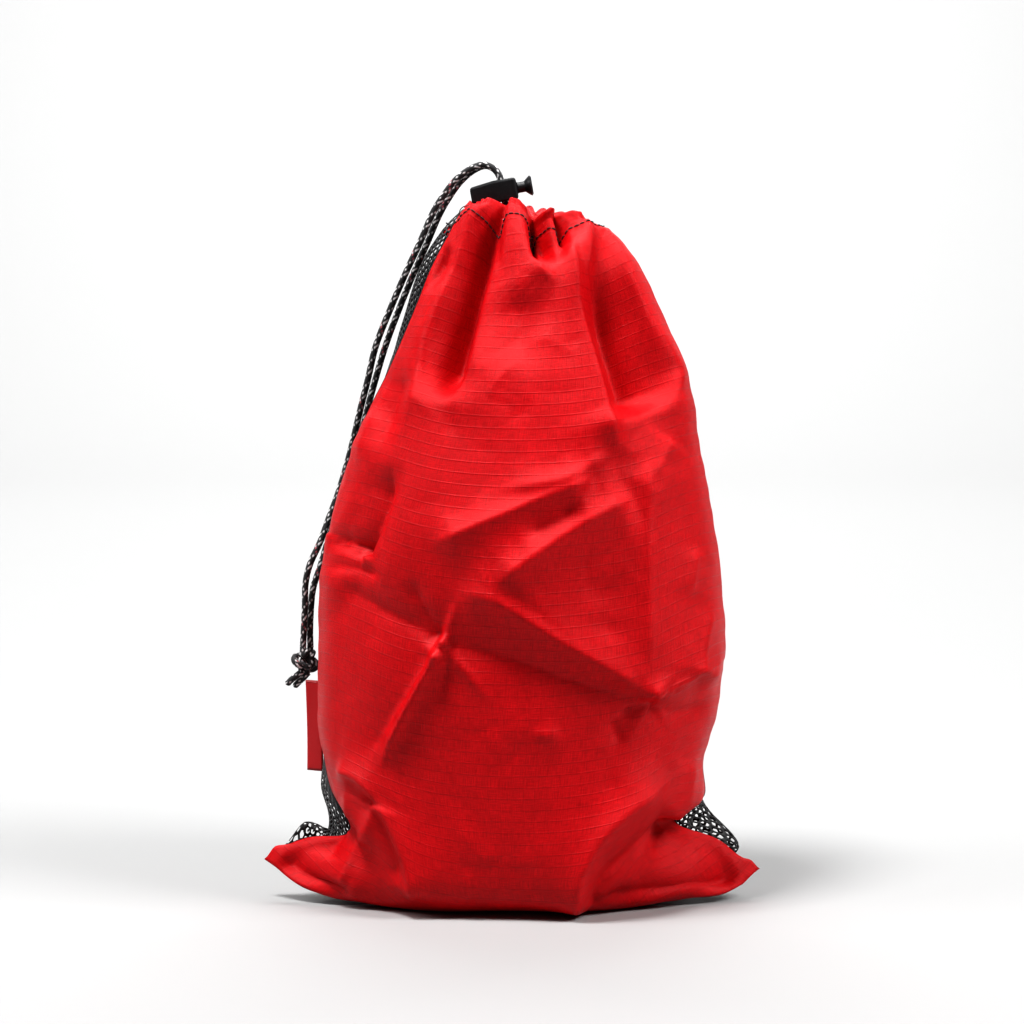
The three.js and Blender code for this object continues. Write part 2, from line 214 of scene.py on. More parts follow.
def tube_points(line, radii, sides):
    """Rings of points round a line. radii is one number, or one for each point of each ring."""
    side, up = frames_along(line)
    angles = 2 * math.pi * np.arange(sides) / sides
    radii = np.broadcast_to(radii, (len(line), sides))
    spokes = (np.cos(angles)[None, :, None] * side[:, None]
              + np.sin(angles)[None, :, None] * up[:, None])
    rings = line[:, None] + radii[:, :, None] * spokes
    return np.concatenate([rings.reshape(-1, 3), line[:1], line[-1:]])


def joined(tubes):
    """The points and faces of several tubes as one. Each tube is its points, quads and triangles."""
    points, *kinds = zip(*tubes)
    firsts = np.cumsum([0] + [len(each) for each in points[:-1]])
    faces = [np.concatenate([f + first for f, first in zip(kind, firsts)]) for kind in kinds]
    return np.concatenate(points), faces


def both_sides(middle, half):
    """Points on both sides of a sheet's middle, the outer ones first."""
    return np.concatenate([(middle + half).reshape(-1, 3), (middle - half).reshape(-1, 3)])


# ---- materials


def new_material(name, **sockets):
    material = bpy.data.materials.new(name)
    material.use_nodes = True
    tree = material.node_tree
    shader = next(n for n in tree.nodes if n.type == "BSDF_PRINCIPLED")
    for socket, value in sockets.items():
        shader.inputs[socket.replace("_", " ")].default_value = value
    return material, tree, shader


def node(tree, kind, inputs=(), **settings):
    made = tree.nodes.new("ShaderNode" + kind)
    for key, value in settings.items():
        setattr(made, key, value)
    for key, value in dict(inputs).items():
        if isinstance(value, bpy.types.NodeSocket):
            tree.links.new(value, made.inputs[key])
        else:
            made.inputs[key].default_value = value
    return made


def math_node(tree, operation, a, b=0.0):
    return node(tree, "Math", {0: a, 1: b}, operation=operation).outputs[0]


def product(tree, a, b):
    return math_node(tree, "MULTIPLY", a, b)


def noise_at(tree, vector, scale, detail=3.0):
    made = node(tree, "TexNoise", {"Vector": vector, "Scale": scale, "Detail": detail,
                                   "Roughness": 0.6})
    return made.outputs["Fac"]


def drawn_out_noise(tree, vector, across, along, scale):
    """Noise with its own scale in each direction, which gives streaks."""
    mapped = node(tree, "Mapping", {"Vector": vector, "Scale": (across, along, 1.0)})
    return noise_at(tree, mapped.outputs[0], scale)


def ranged(tree, value, low, high, to_low=0.0, to_high=1.0, **settings):
    """The value carried from one range to another, and kept inside it."""
    limits = {0: value, 1: low, 2: high, 3: to_low, 4: to_high}
    return node(tree, "MapRange", limits, **settings).outputs[0]


def mix_colours(tree, share, a, b):
    made = node(tree, "Mix", data_type="RGBA")
    for key, value in (("Factor", share), ("A", a), ("B", b)):
        socket = next(s for s in made.inputs if s.name == key and s.type in
                      (("VALUE",) if key == "Factor" else ("RGBA",)))
        if isinstance(value, bpy.types.NodeSocket):
            tree.links.new(value, socket)
        else:
            socket.default_value = value
    return next(s for s in made.outputs if s.type == "RGBA")


def connect(tree, shader, colour, rough, height=None, depth=0.0):
    tree.links.new(colour, shader.inputs["Base Color"])
    tree.links.new(rough, shader.inputs["Roughness"])
    if height is not None:
        bump = node(tree, "Bump", {"Height": height, "Distance": depth, "Strength": 1.0})
        tree.links.new(bump.outputs["Normal"], shader.inputs["Normal"])


def thread_line(tree, coordinate, width):
    """1 on a line at every whole number of the coordinate, 0 between them."""
    part = math_node(tree, "FRACT", coordinate)
    away = math_node(tree, "ABSOLUTE", math_node(tree, "SUBTRACT", part, 0.5))
    return ranged(tree, away, 0.5 - width, 0.5 - 0.35 * width, interpolation_type="SMOOTHSTEP")


RIPSTOP_CELL = 5.0   # millimetres between the thick threads
THREADS = 11.0       # fine threads in each cell


def ripstop_material(name, deep, middle, bright):
    """Red nylon ripstop. Its UVs count the cells of the thick threads."""
    material, tree, shader = new_material(name, Sheen_Weight=0.02, Sheen_Roughness=0.35)
    shader.inputs["Sheen Tint"].default_value = (1.0, 0.45, 0.42, 1.0)
    shader.inputs["Specular IOR Level"].default_value = 0.60
    shader.inputs["Specular Tint"].default_value = (1.0, 0.44, 0.44, 1.0)
    cloth = node(tree, "UVMap", uv_map="cloth").outputs["UV"]
    split = node(tree, "SeparateXYZ", {0: cloth})
    across, along = split.outputs[0], split.outputs[1]
    upright, level = thread_line(tree, across, 0.07), thread_line(tree, along, 0.085)
    grid = math_node(tree, "MAXIMUM", product(tree, upright, 0.45), level)
    warp = drawn_out_noise(tree, cloth, 19.0, 0.9, 1.0)
    weft = drawn_out_noise(tree, cloth, 0.9, 21.0, 1.0)
    slub = product(tree, math_node(tree, "ADD", warp, weft), 0.5)
    waves = [math_node(tree, "SINE", product(tree, c, 2 * math.pi * THREADS)) for c in (across, along)]
    weave = product(tree, waves[0], waves[1])
    colour = mix_colours(tree, ranged(tree, slub, 0.41, 0.59), middle, bright)
    patches = ranged(tree, noise_at(tree, cloth, 0.35, 4.0), 0.35, 0.7, 0.0, 0.22)
    colour = mix_colours(tree, patches, colour, deep)
    shown = ranged(tree, noise_at(tree, cloth, 0.9), 0.38, 0.62, 0.08, 0.34)
    colour = mix_colours(tree, product(tree, grid, shown), colour, deep)
    rough = ranged(tree, slub, 0.3, 0.7, 0.36, 0.54)
    rough = math_node(tree, "SUBTRACT", rough, product(tree, grid, 0.08))
    height = math_node(tree, "ADD", product(tree, grid, 0.55), product(tree, weave, 0.25))
    height = math_node(tree, "ADD", height, product(tree, slub, 0.9))
    connect(tree, shader, colour, rough, height, 0.00012)
    return material


def fibre_material(name, dark, light, roughness, scale=900.0, bump=0.00006, sheen=0.15):
    """A fine-grained material, for thread, netting, tape and plastic."""
    material, tree, shader = new_material(name, Sheen_Weight=sheen, Sheen_Roughness=0.5)
    place = node(tree, "TexCoord").outputs["Object"]
    grain = noise_at(tree, place, scale)
    wear = noise_at(tree, place, 60.0)
    both = product(tree, math_node(tree, "ADD", grain, wear), 0.5)
    colour = mix_colours(tree, ranged(tree, both, 0.35, 0.68), dark, light)
    rough = ranged(tree, grain, 0.3, 0.7, roughness - 0.08, roughness + 0.08)
    connect(tree, shader, colour, rough, grain, bump)
    return material


def braid_material(name):
    """Black braid, with the white and pinkish strands that the mesh marks."""
    material, tree, shader = new_material(name, Sheen_Weight=0.25, Sheen_Roughness=0.45)
    marks = node(tree, "Attribute", attribute_name="fleck", attribute_type="GEOMETRY")
    split = node(tree, "SeparateColor", {0: marks.outputs["Color"]})
    fibres = noise_at(tree, node(tree, "TexCoord").outputs["Object"], 2600.0)
    colour = mix_colours(tree, fibres, (0.006, 0.006, 0.007, 1), (0.030, 0.029, 0.031, 1))
    colour = mix_colours(tree, split.outputs[0], colour, (0.72, 0.70, 0.70, 1))
    colour = mix_colours(tree, split.outputs[1], colour, (0.42, 0.10, 0.12, 1))
    connect(tree, shader, colour, ranged(tree, fibres, 0.3, 0.7, 0.55, 0.8), fibres, 0.00008)
    return material


def ribbed_material(name, dark, light, ribs, roughness, edge=None):
    """A woven ribbon with fine ribs across it, and a darker border below and above two heights.

    Its UVs are in millimetres.
    """
    material, tree, shader = new_material(name, Sheen_Weight=0.3, Sheen_Roughness=0.3)
    shader.inputs["Anisotropic"].default_value = 0.4
    cloth = node(tree, "UVMap", uv_map="cloth").outputs["UV"]
    split = node(tree, "SeparateXYZ", {0: cloth})
    rib = math_node(tree, "SINE", product(tree, split.outputs[1], 2 * math.pi * ribs))
    fine = drawn_out_noise(tree, cloth, 1.0, 6.0, 3.0)
    colour = mix_colours(tree, fine, dark, light)
    if edge is not None:
        low, high, tone = edge
        border = math_node(tree, "MAXIMUM", math_node(tree, "LESS_THAN", split.outputs[1], low),
                           math_node(tree, "GREATER_THAN", split.outputs[1], high))
        colour = mix_colours(tree, product(tree, border, 0.6), colour, tone)
    rough = ranged(tree, fine, 0.3, 0.7, roughness - 0.07, roughness + 0.07)
    height = math_node(tree, "ADD", product(tree, rib, 0.5), fine)
    connect(tree, shader, colour, rough, height, 0.00006)
    return material


def steel_material(name):
    material, tree, shader = new_material(name, Metallic=1.0, Anisotropic=0.4)
    scratches = noise_at(tree, node(tree, "TexCoord").outputs["Object"], 1800.0)
    colour = mix_colours(tree, scratches, (0.36, 0.36, 0.37, 1), (0.55, 0.55, 0.56, 1))
    connect(tree, shader, colour, ranged(tree, scratches, 0.3, 0.7, 0.2, 0.36))
    return material


SOOT = (0.006, 0.006, 0.007, 1)
RIPSTOP = ripstop_material("ripstop", (0.24, 0.0002, 0.002, 1), (0.43, 0.0004, 0.0045, 1),
                           (0.68, 0.003, 0.010, 1))
NETTING = fibre_material("netting", (0.004, 0.004, 0.005, 1), (0.022, 0.022, 0.024, 1), 0.6,
                         sheen=0.2)
THREAD = fibre_material("thread", (0.005, 0.005, 0.006, 1), (0.025, 0.024, 0.025, 1), 0.62, 3000.0)
PLASTIC = fibre_material("lock_plastic", SOOT, (0.020, 0.020, 0.022, 1), 0.42, 1500.0, 0.00003,
                         sheen=0.0)
BRAID = braid_material("braid")
TAPE = ribbed_material("tape", SOOT, (0.030, 0.030, 0.032, 1), 1.2, 0.75)
LABEL_RIBBON = ribbed_material("label_ribbon", (0.34, 0.002, 0.006, 1), (0.55, 0.006, 0.012, 1),
                               2.5, 0.42, edge=(1.2, 40.8, (0.22, 0.002, 0.004, 1)))
STEEL = steel_material("spring_steel")

# ---- drawcord

CORD = 3.0
LAY = 12.0        # length of one turn of a strand round the cord
STRANDS = 8       # strands that wind each way
END_ROUNDING = 1.1
LEFT_TAIL = [
    (-12.6, -4.6, 310.2), (-8.2, -2.8, 312.4), (-4.4, -0.9, 313.4), (-3.1, -0.3, 315.0),
    (-3.7, -0.25, 318.0), (-4.3, -0.25, 321.2), (-5.1, -0.25, 325.9), (-7.0, -0.1, 329.7),
    (-10.1, 0.3, 332.0), (-13.6, 1.0, 332.7), (-19.3, 2.0, 330.4), (-25.3, 3.0, 325.8),
    (-30.2, 3.9, 319.6), (-35.4, 4.8, 311.5), (-41.4, 5.9, 298.0), (-48.2, 7.2, 283.6),
    (-55.2, 8.8, 267.5), (-61.8, 10.4, 251.0), (-65.6, 12.0, 235.6), (-69.6, 14.4, 220.2),
    (-74.2, 17.8, 201.6), (-79.4, 19.2, 184.0), (-84.2, 17.2, 171.0), (-88.0, 14.0, 160.6),
    (-92.6, 12.0, 150.6), (-94.8, 12.0, 141.6), (-95.2, 12.6, 131.0), (-95.9, 13.8, 119.5),
    (-96.4, 15.0, 111.6),
]
RIGHT_TAIL = [
    (-12.2, 4.4, 310.4), (-8.2, 4.1, 312.4), (-4.4, 3.5, 313.4), (-3.1, 3.3, 315.0),
    (-3.7, 3.25, 318.0), (-4.3, 3.25, 321.2), (-5.0, 3.25, 325.9), (-6.8, 3.3, 329.7),
    (-10.0, 3.7, 331.8), (-13.4, 4.4, 331.9), (-18.4, 5.4, 329.4), (-23.6, 6.4, 324.6),
    (-28.2, 7.3, 318.2), (-33.0, 8.2, 309.8), (-38.8, 9.4, 296.4), (-45.2, 10.8, 282.2),
    (-51.6, 12.4, 266.6), (-57.6, 14.2, 250.6), (-62.4, 16.6, 235.0), (-66.8, 19.4, 219.4),
    (-71.6, 22.4, 201.4), (-76.8, 23.4, 184.0), (-81.6, 22.0, 170.6), (-85.4, 19.6, 158.6),
    (-88.4, 17.8, 148.4), (-91.4, 16.6, 139.6), (-92.6, 16.2, 131.0), (-93.2, 16.4, 119.5),
    (-93.2, 17.6, 111.6),
]
LEFT_END = [(-97.0, 15.6, 100.0), (-99.0, 16.0, 98.2), (-101.6, 16.0, 96.2), (-104.4, 15.8, 93.6)]
RIGHT_END = [(-94.4, 17.4, 99.0), (-96.2, 17.8, 96.9), (-98.6, 18.4, 94.6), (-101.0, 19.2, 92.0)]
KNOT_MIDDLE = np.array([-94.6, 16.4, 104.8])


def braid_points(line, phase=0.0, sides=32, step=0.42, tip=0.0):
    """A braided cord round a line: its points, faces and the marks of its coloured strands."""
    line = even_line(line, step)
    along = lengths_along(line)[:, None]
    turn = np.arange(sides)[None, :] / sides + phase
    one = (turn - along / LAY) * STRANDS
    other = (turn + along / LAY) * STRANDS
    over = (np.floor(one) + np.floor(other)) % 2 == 0
    relief = np.sqrt(np.clip(np.sin(math.pi * (one % 1)) * np.sin(math.pi * (other % 1)), 0, 1))
    radii = CORD / 2 * (0.87 + 0.14 * relief)
    if tip:
        left = along[-1, 0] - along
        radii = radii * np.where(left < tip, np.sqrt(np.clip(1 - (1 - left / tip) ** 2, 0.12, 1)), 1)
    white = over & (np.floor(one) % 4 == 0) | ~over & (np.floor(other) % STRANDS == 1)
    pink = ~over & (np.floor(other) % STRANDS == 4) & (np.floor(along / LAY) % 3 == 1)
    marks = np.zeros((len(line), sides, 4))
    marks[..., 0] = white * relief**0.3
    marks[..., 1] = pink * relief**0.3
    ends = np.zeros((2, 4))
    quads, caps = tube_faces(len(line), sides)
    return (tube_points(line, radii, sides), quads, caps, np.concatenate([marks.reshape(-1, 4), ends]))


def braided(name, lines, replaces, phases=(0.0,), **settings):
    """One piece of braid along one or more lines. phases turn the strands about each line."""
    braids = [braid_points(line, phase, **settings) for line, phase in zip(lines, phases)]
    marks = np.concatenate([braid[3] for braid in braids])
    mesh = build_mesh(name, *joined([braid[:3] for braid in braids]), colours=marks)
    return add_piece(name, mesh, BRAID, replaces=replaces)


def knot_line(start, end, shift, turn):
    """One strand of the overhand knot: a trefoil cut open at one lobe, between two points."""
    t = np.linspace(0.35, 2 * math.pi - 0.35, 15)
    x = np.sin(t) + 2 * np.sin(2 * t)
    y = np.cos(t) - 2 * np.cos(2 * t)
    z = -np.sin(3 * t)
    body = turned(np.stack([1.5 * y - 0.6, 1.9 * z, 1.5 * x], 1), turn) + KNOT_MIDDLE + shift
    start = np.asarray(start)
    return smooth_line(np.vstack([start + (0, 0, 1), start, body, end]), 5)


left_route = smooth_line(LEFT_TAIL, 8)
right_route = smooth_line(RIGHT_TAIL, 8)
left_tail = braided("cord_tail_left", [left_route], ["drawcord_left_tail"])
right_tail = braided("cord_tail_right", [right_route], ["drawcord_right_tail"], phases=(0.37,))
knot = braided(
    "cord_knot",
    [knot_line(LEFT_TAIL[-1], LEFT_END[0], (-1.2, -0.9, 0.4), 0.5),
     knot_line(RIGHT_TAIL[-1], RIGHT_END[0], (1.2, 1.0, -0.5), 0.8)],
    ["drawcord_knot"], phases=(0.1, 0.6),
)
left_end = braided("cord_end_left", [smooth_line(LEFT_END)], ["drawcord_left_end"],
                   tip=END_ROUNDING)
right_end = braided("cord_end_right", [smooth_line(RIGHT_END)], ["drawcord_right_end"],
                    phases=(0.5,), tip=END_ROUNDING)

# ---- the filled shape

CLOTH_WIDTH = 240.0     # of each flat panel between its side seams
CLOTH_HEIGHT = 345.0    # of each flat panel from the bottom seam to the mouth
GROUND = 1.2            # height of the panels' middle surface where the sack rests
SKIN = 0.9              # from that middle surface out to the middle of the cloth
RIM_FOOT = 326          # above this height up the cloth, the mouth's edge has its own shape
LEFT_RIM_SHIFT = 2.5    # how far that edge is drawn in at the left
EAR_REACH = 112.6
LEFT_EAR = (19.5, 28, 32, 51)
RIGHT_EAR = (14, 27.5, 37, 51)
SEAM_POINTS = ((EAR_REACH, -11), (92.5, -13), (72.5, -17), (82, -8))
STATIONS = (   # height, left, right, half depth, left and right seam behind the middle
    (72, -87.2, 89.6, 58.4, 7, 4), (94, -87.7, 94.0, 59.8, 8, 5), (131, -86.3, 94.5, 60.2, 6, 5),
    (172, -81.3, 90.0, 58.8, 2, 4), (213, -68.1, 82.2, 52.8, -4, 3), (241, -55.4, 73.6, 44.8, -8, 2),
    (268, -45.4, 63.1, 35.0, -11, 0), (287, -38.1, 51.8, 27.5, -10, 0), (302, -28.0, 37.0, 20.0, -5, 0),
    (313.6, -19.4, 29.6, 14.5, 0, 0),
)
BOTTOM_SEAM = ((0, -15, GROUND), (40, -18, GROUND), (70, -26, 2.5), (92, -22, 7))
FRONT_FOOT = (
    BOTTOM_SEAM,
    ((0, -37, GROUND), (40, -37, GROUND), (66, -36, 6), (82, -31, 14)),
    ((0, -52, 9), (40, -50, 10), (60, -42, 22), (68, -27, 33)),
    ((0, -56, 29), (40, -53, 30), (64, -41, 41), (77, -24, 48)),
)
BACK_FOOT = (
    BOTTOM_SEAM,
    ((0, 6, GROUND), (40, 5, GROUND), (68, -6, 3), (87, -7, 13)),
    ((0, 34, GROUND), (40, 31, GROUND), (70, 10, 9), (83, -3, 26)),
    ((0, 51, 15), (40, 49, 17), (70, 30, 31), (85, 6, 45)),
)
SPREAD = (0, 0.35, 0.65, 0.85, 1)


def foot_row(half, index):
    x, y = SEAM_POINTS[index]
    mirrored = [(-px, py, pz) for px, py, pz in half[:0:-1]]
    return [(-x, y, LEFT_EAR[index]), *mirrored, *half, (x, y, RIGHT_EAR[index])]


def body_row(station, side):
    z, left, right, depth, left_seam, right_seam = station
    ends = [math.pi / 2 - side * math.asin(seam / depth) for seam in (left_seam, right_seam)]
    angles = [-share * ends[0] for share in SPREAD[:0:-1]] + [share * ends[1] for share in SPREAD]
    middle, reach = (left + right) / 2, (right - left) / 2
    return [(middle + reach * math.sin(a), side * depth * math.cos(a), z) for a in angles]


def evenly(grid, axis, count):
    """The grid with its points an even share of the length apart, along one axis."""
    grid = np.moveaxis(grid, axis, 0)
    steps = np.linalg.norm(np.diff(grid, axis=0), axis=-1)
    along = np.concatenate([np.zeros((1, grid.shape[1])), np.cumsum(steps, 0)])
    shares = np.linspace(0, 1, count)
    made = np.empty((count, grid.shape[1], 3))
    for j in range(grid.shape[1]):
        for k in range(3):
            made[:, j, k] = np.interp(shares, along[:, j] / along[-1, j], grid[:, j, k])
    return np.moveaxis(made, 0, axis)


def smoothstep(low, high, x):
    share = np.clip((x - low) / (high - low), 0, 1)
    return share * share * (3 - 2 * share)


class Panel:
    """One side of the sack: the front with side -1, the back with side 1.

    u runs across the flat cloth and v up it, in millimetres.
    """

    def __init__(self, foot, side):
        rows = [foot_row(half, i) for i, half in enumerate(foot)]
        rows += [body_row(station, side) for station in STATIONS]
        rows = np.array(rows, float)
        up = spline_weights(rows.shape[0], np.linspace(0, 1, 520))
        across = spline_weights(rows.shape[1], np.linspace(0, 1, 361))
        grid = np.einsum("ir,rck,jc->ijk", up, rows, across)
        grid[..., 2] = np.maximum(grid[..., 2], GROUND)
        grid = evenly(grid, 0, int(CLOTH_HEIGHT) + 1)
        self.grid = evenly(grid, 1, int(CLOTH_WIDTH) + 1)
        out = unit(np.cross(np.gradient(self.grid, axis=1), np.gradient(self.grid, axis=0)) * -side)
        share = np.linspace(0, 1, out.shape[1])
        near = 1 - smoothstep(0, 0.03, np.minimum(share, 1 - share))
        outwards = np.where(share < 0.5, -1.0, 1.0)[:, None] * np.array([1.0, 0, 0])
        self.out = unit(out * (1 - near)[None, :, None] + outwards[None] * near[None, :, None])
        self.side = side

    def sample(self, table, u, v):
        x = np.clip(u + CLOTH_WIDTH / 2, 0, CLOTH_WIDTH - 1e-6)
        y = np.clip(v, 0, CLOTH_HEIGHT - 1e-6)
        i, j = y.astype(int), x.astype(int)
        fy, fx = (y - i)[..., None], (x - j)[..., None]
        low = table[i, j] * (1 - fx) + table[i, j + 1] * fx
        high = table[i + 1, j] * (1 - fx) + table[i + 1, j + 1] * fx
        return low * (1 - fy) + high * fy

    def surface(self, u, v):
        """The middle of the cloth, with its folds."""
        u, v = np.broadcast_arrays(np.asarray(u, float), np.asarray(v, float))
        base = self.sample(self.grid, u, v)
        out = self.sample(self.out, u, v)
        edge = CLOTH_WIDTH / 2 - np.abs(u)
        standing = smoothstep(1.6, 9, base[..., 2])
        free = smoothstep(0, 9, edge) * smoothstep(0, 7, v) * standing
        lift = front_folds(base, u, v) if self.side < 0 else back_folds(u, v)
        at = base + out * (SKIN + lift * free)[..., None]
        if self.side > 0:
            loose = smoothstep(0, 7.5, edge) * smoothstep(1, 16, v) * standing
            at = at + net_bulge(base) * loose[..., None]
        at[..., 2] += rim_lift(base[..., 0], v, self.side)
        rim = smoothstep(RIM_FOOT, CLOTH_HEIGHT, v)
        at[..., 0] += LEFT_RIM_SHIFT * rim * smoothstep(8, -19.4, base[..., 0])
        shape_corners(at, base, v)
        at[..., 2] = np.maximum(at[..., 2], GROUND - SKIN)
        return at

    def layer(self, u, v, inward):
        """Points a distance inside the folded cloth, and the direction out of it there."""
        step = 0.8
        across = self.surface(u + step, v) - self.surface(u - step, v)
        up = self.surface(u, np.minimum(v + step, CLOTH_HEIGHT)) - self.surface(u, v - step)
        out = unit(np.cross(across, up) * -self.side)
        return self.surface(u, v) - out * np.asarray(inward)[..., None], out


# ---- folds and creases

# The front's creases, seen from the front: x across and height, in millimetres. After its path
# each has how far it stands out, or in if that is negative, the widths of its slopes on the left
# and right of its direction, how rounded it is, and the shares of its length over which it fades
# in and out.
UPPER_FOLDS = [
    # ridge that starts left of the mouth, and the dark leaf-shaped valley beside it
    ([(-11, 324), (-10.7, 314), (-18, 300.6), (-24.8, 287.4), (-31.1, 271.5), (-35.7, 259.2),
      (-38.9, 243.3), (-43.4, 228.3), (-48.4, 215.1), (-53.9, 191.5)], 4.6, 6, 8, 1.6, 0.02, 0.5),
    ([(-4.8, 324), (-5.4, 312), (-7.5, 303), (-13.5, 288), (-19, 271.5), (-25.5, 253), (-31.5, 228)],
     -9.5, 7.5, 5.5, 3.0, 0.02, 0.18),
    ([(0, 324), (-1.6, 314), (-4.2, 306.5), (-8.4, 290), (-12, 275), (-14.8, 262), (-18.6, 243.3),
      (-24.8, 231), (-31, 224.0)], 4.6, 15, 3.6, 1.2, 0.02, 0.25),
    ([(0.7, 282), (4.3, 262), (6.1, 238)], -2.0, 8, 8, 3.0, 0.3, 0.5),
    # the pocket under the pleats, and the ridge that runs round it
    ([(6.2, 324), (6.4, 312), (5.0, 303), (6.0, 296), (9.3, 290), (13.9, 283.8), (20.3, 280)],
     4.6, 3.0, 9, 0.9, 0.02, 0.3),
    ([(9.6, 324), (9.8, 312), (11.5, 303), (14.5, 296), (19.5, 287)], -9.0, 4.5, 5, 1.8, 0.02, 0.3),
    ([(17, 324), (17.5, 312), (22, 299.7), (26.1, 288.3), (28, 275), (30.7, 264), (34.3, 253), (39.3, 234),
      (43, 217), (47.5, 209.7), (56, 205.6)], 5.0, 4.0, 12, 1.0, 0.02, 0.2),
    ([(21.4, 324), (21.4, 312), (23.5, 302), (27, 294)], -6.0, 3.4, 3.2, 1.2, 0.02, 0.45),
    ([(26, 324), (28, 312), (31.6, 303), (32.5, 285.6), (31.6, 272)], 2.8, 3.5, 4, 0.9, 0.02, 0.5),
    # the broad valley on the right and the ridge outside it
    ([(31, 306), (38, 280), (46, 256), (53, 238), (57.5, 223)], -9.5, 9, 9, 3.5, 0.55, 0.12),
    ([(34, 312), (37.5, 305), (43.9, 296), (49.3, 284.7), (55.2, 273.3), (60.7, 262), (66.6, 252),
      (71, 243.3), (70.5, 235), (65.7, 228), (57, 222.5)], 4.6, 9, 4.5, 1.2, 0.08, 0.25),
    ([(-26, 299), (-31, 292), (-37, 277)], -3.2, 4, 4, 1.0, 0.15, 0.5),
    ([(-44, 250), (-52, 228), (-60, 205)], -2.4, 6, 6, 2.0, 0.3, 0.4),
    ([(-58, 232), (-64, 214), (-69, 200)], 1.6, 5, 5, 0.8, 0.3, 0.4),
]
MIDDLE_CREASES = [
    ([(58.4, 206), (58.9, 160), (58.4, 108)], 1.7, 9, 5, 0.6, 0.1, 0.2),
    ([(-10.7, 190.6), (22, 196.5), (43.9, 208.8)], 1.4, 8, 4, 0.7, 0.4, 0.2),
    ([(71, 214), (59, 196)], 1.2, 5, 8, 1.0, 0.2, 0.4),
    # the dark pocket at the left edge
    ([(-52, 203), (-55, 188), (-60, 174), (-66, 162.5)], -3.4, 2.4, 10, 0.5, 0.35, 0.02),
    ([(-82, 170), (-74, 165.5), (-66, 162)], -2.6, 8, 2.4, 0.5, 0.3, 0.02),
    ([(-84, 158), (-70, 156.5), (-56, 152)], -1.6, 6, 3, 0.8, 0.3, 0.3),
    # creases that meet in a star
    ([(-79, 151), (-59.3, 139.2), (-40.7, 130.1), (-30.7, 125.6)], -2.3, 9, 16, 0.4, 0.2, 0.05),
    ([(-45.4, 154), (-38, 137), (-31, 125.6)], -1.3, 2.6, 5, 0.5, 0.3, 0.1),
    ([(-31, 126), (-20.2, 111.5), (-8.0, 97)], 1.5, 3.2, 2.4, 0.3, 0.02, 0.6),
    ([(-30, 124.5), (0.2, 117), (26.6, 107.9), (60.7, 97.4)], -1.9, 9, 15, 0.8, 0.05, 0.1),
    ([(-31, 122), (-45, 96), (-59.3, 65)], 3.0, 2.6, 3.0, 0.5, 0.05, 0.35),
    ([(-33, 120), (-52, 93), (-67, 68)], -1.1, 3, 6, 1.0, 0.1, 0.35),
    ([(-27.5, 147.9), (-6.6, 142.9), (19.8, 126), (54.3, 105.1), (60.7, 97.4)],
     3.2, 15, 8, 0.35, 0.2, 0.05),
    ([(-38, 166), (-2.5, 181.5), (36, 197)], 2.6, 7, 10, 0.35, 0.2, 0.15),
    ([(-8, 147), (0.2, 156.5), (26.6, 175.1), (53, 189)], 2.8, 8, 11, 0.35, 0.2, 0.15),
    ([(4, 170), (30, 186)], -1.3, 5, 4, 1.4, 0.3, 0.3),
    # the right side
    ([(60.7, 97.4), (73.9, 105.1), (80.7, 110.6), (94, 106)], 2.0, 7, 5, 0.7, 0.05, 0.2),
    ([(61, 98), (74, 92), (90, 96)], -1.4, 5, 8, 1.0, 0.05, 0.3),
    ([(80.7, 168), (79, 156), (77, 141)], 1.1, 4, 6, 0.5, 0.3, 0.4),
    ([(88.4, 141), (83, 122.4), (80.7, 109)], 1.3, 5, 7, 0.6, 0.3, 0.1),
    ([(8, 86), (14, 84), (22, 86)], 0.9, 3, 3, 0.4, 0.4, 0.4),
    ([(44, 92), (47, 82), (50, 79)], -0.9, 3, 3, 0.4, 0.3, 0.4),
]
LOWER_PLEATS = [
    ([(82, 70), (76, 58), (72, 42)], 1.8, 5, 7, 0.8, 0.2, 0.1),
    ([(71, 66), (60, 57.5), (50.2, 50), (41, 41), (34.3, 31.5), (29.5, 20), (28.6, 8), (31.5, 1.5)],
     4.6, 7, 9, 1.6, 0.25, 0.05),
    ([(73, 45), (62, 37), (53, 30), (43, 22), (37, 12), (35.5, 3)], -4.6, 7, 5, 2.0, 0.1, 0.1),
    ([(-80, 66), (-67, 63.5), (-59.3, 53.8), (-53.9, 43.3), (-47.5, 27), (-44.5, 17), (-46.6, 8)],
     3.4, 7, 4.0, 1.0, 0.1, 0.1),
    ([(-66, 58), (-58, 44), (-52, 28), (-51, 14)], -2.4, 4, 4, 1.4, 0.2, 0.2),
    ([(-59.8, 52.4), (-65.7, 35.1), (-71.6, 26), (-74.8, 19.7), (-80.2, 8.8)], 2.8, 4, 6, 0.9, 0.05, 0.2),
    ([(-72.6, 62), (-72.6, 42), (-71.6, 24.7)], 1.6, 3, 4, 0.6, 0.2, 0.3),
    ([(-78, 50), (-80, 36), (-84, 24)], -2.0, 4, 4, 1.5, 0.2, 0.2),
    ([(-20.2, 25), (-20.2, 8.8)], 0.8, 2.5, 2.5, 0.4, 0.4, 0.2),
    ([(38, 7.5), (60, 10), (84, 14.5), (104, 19.5)], -3.4, 9, 4.5, 2.0, 0.2, 0.1),
    ([(-72, 7), (-80, 9.5), (-95, 15), (-107, 21.5)], -3.4, 4.5, 9, 2.0, 0.2, 0.1),
]


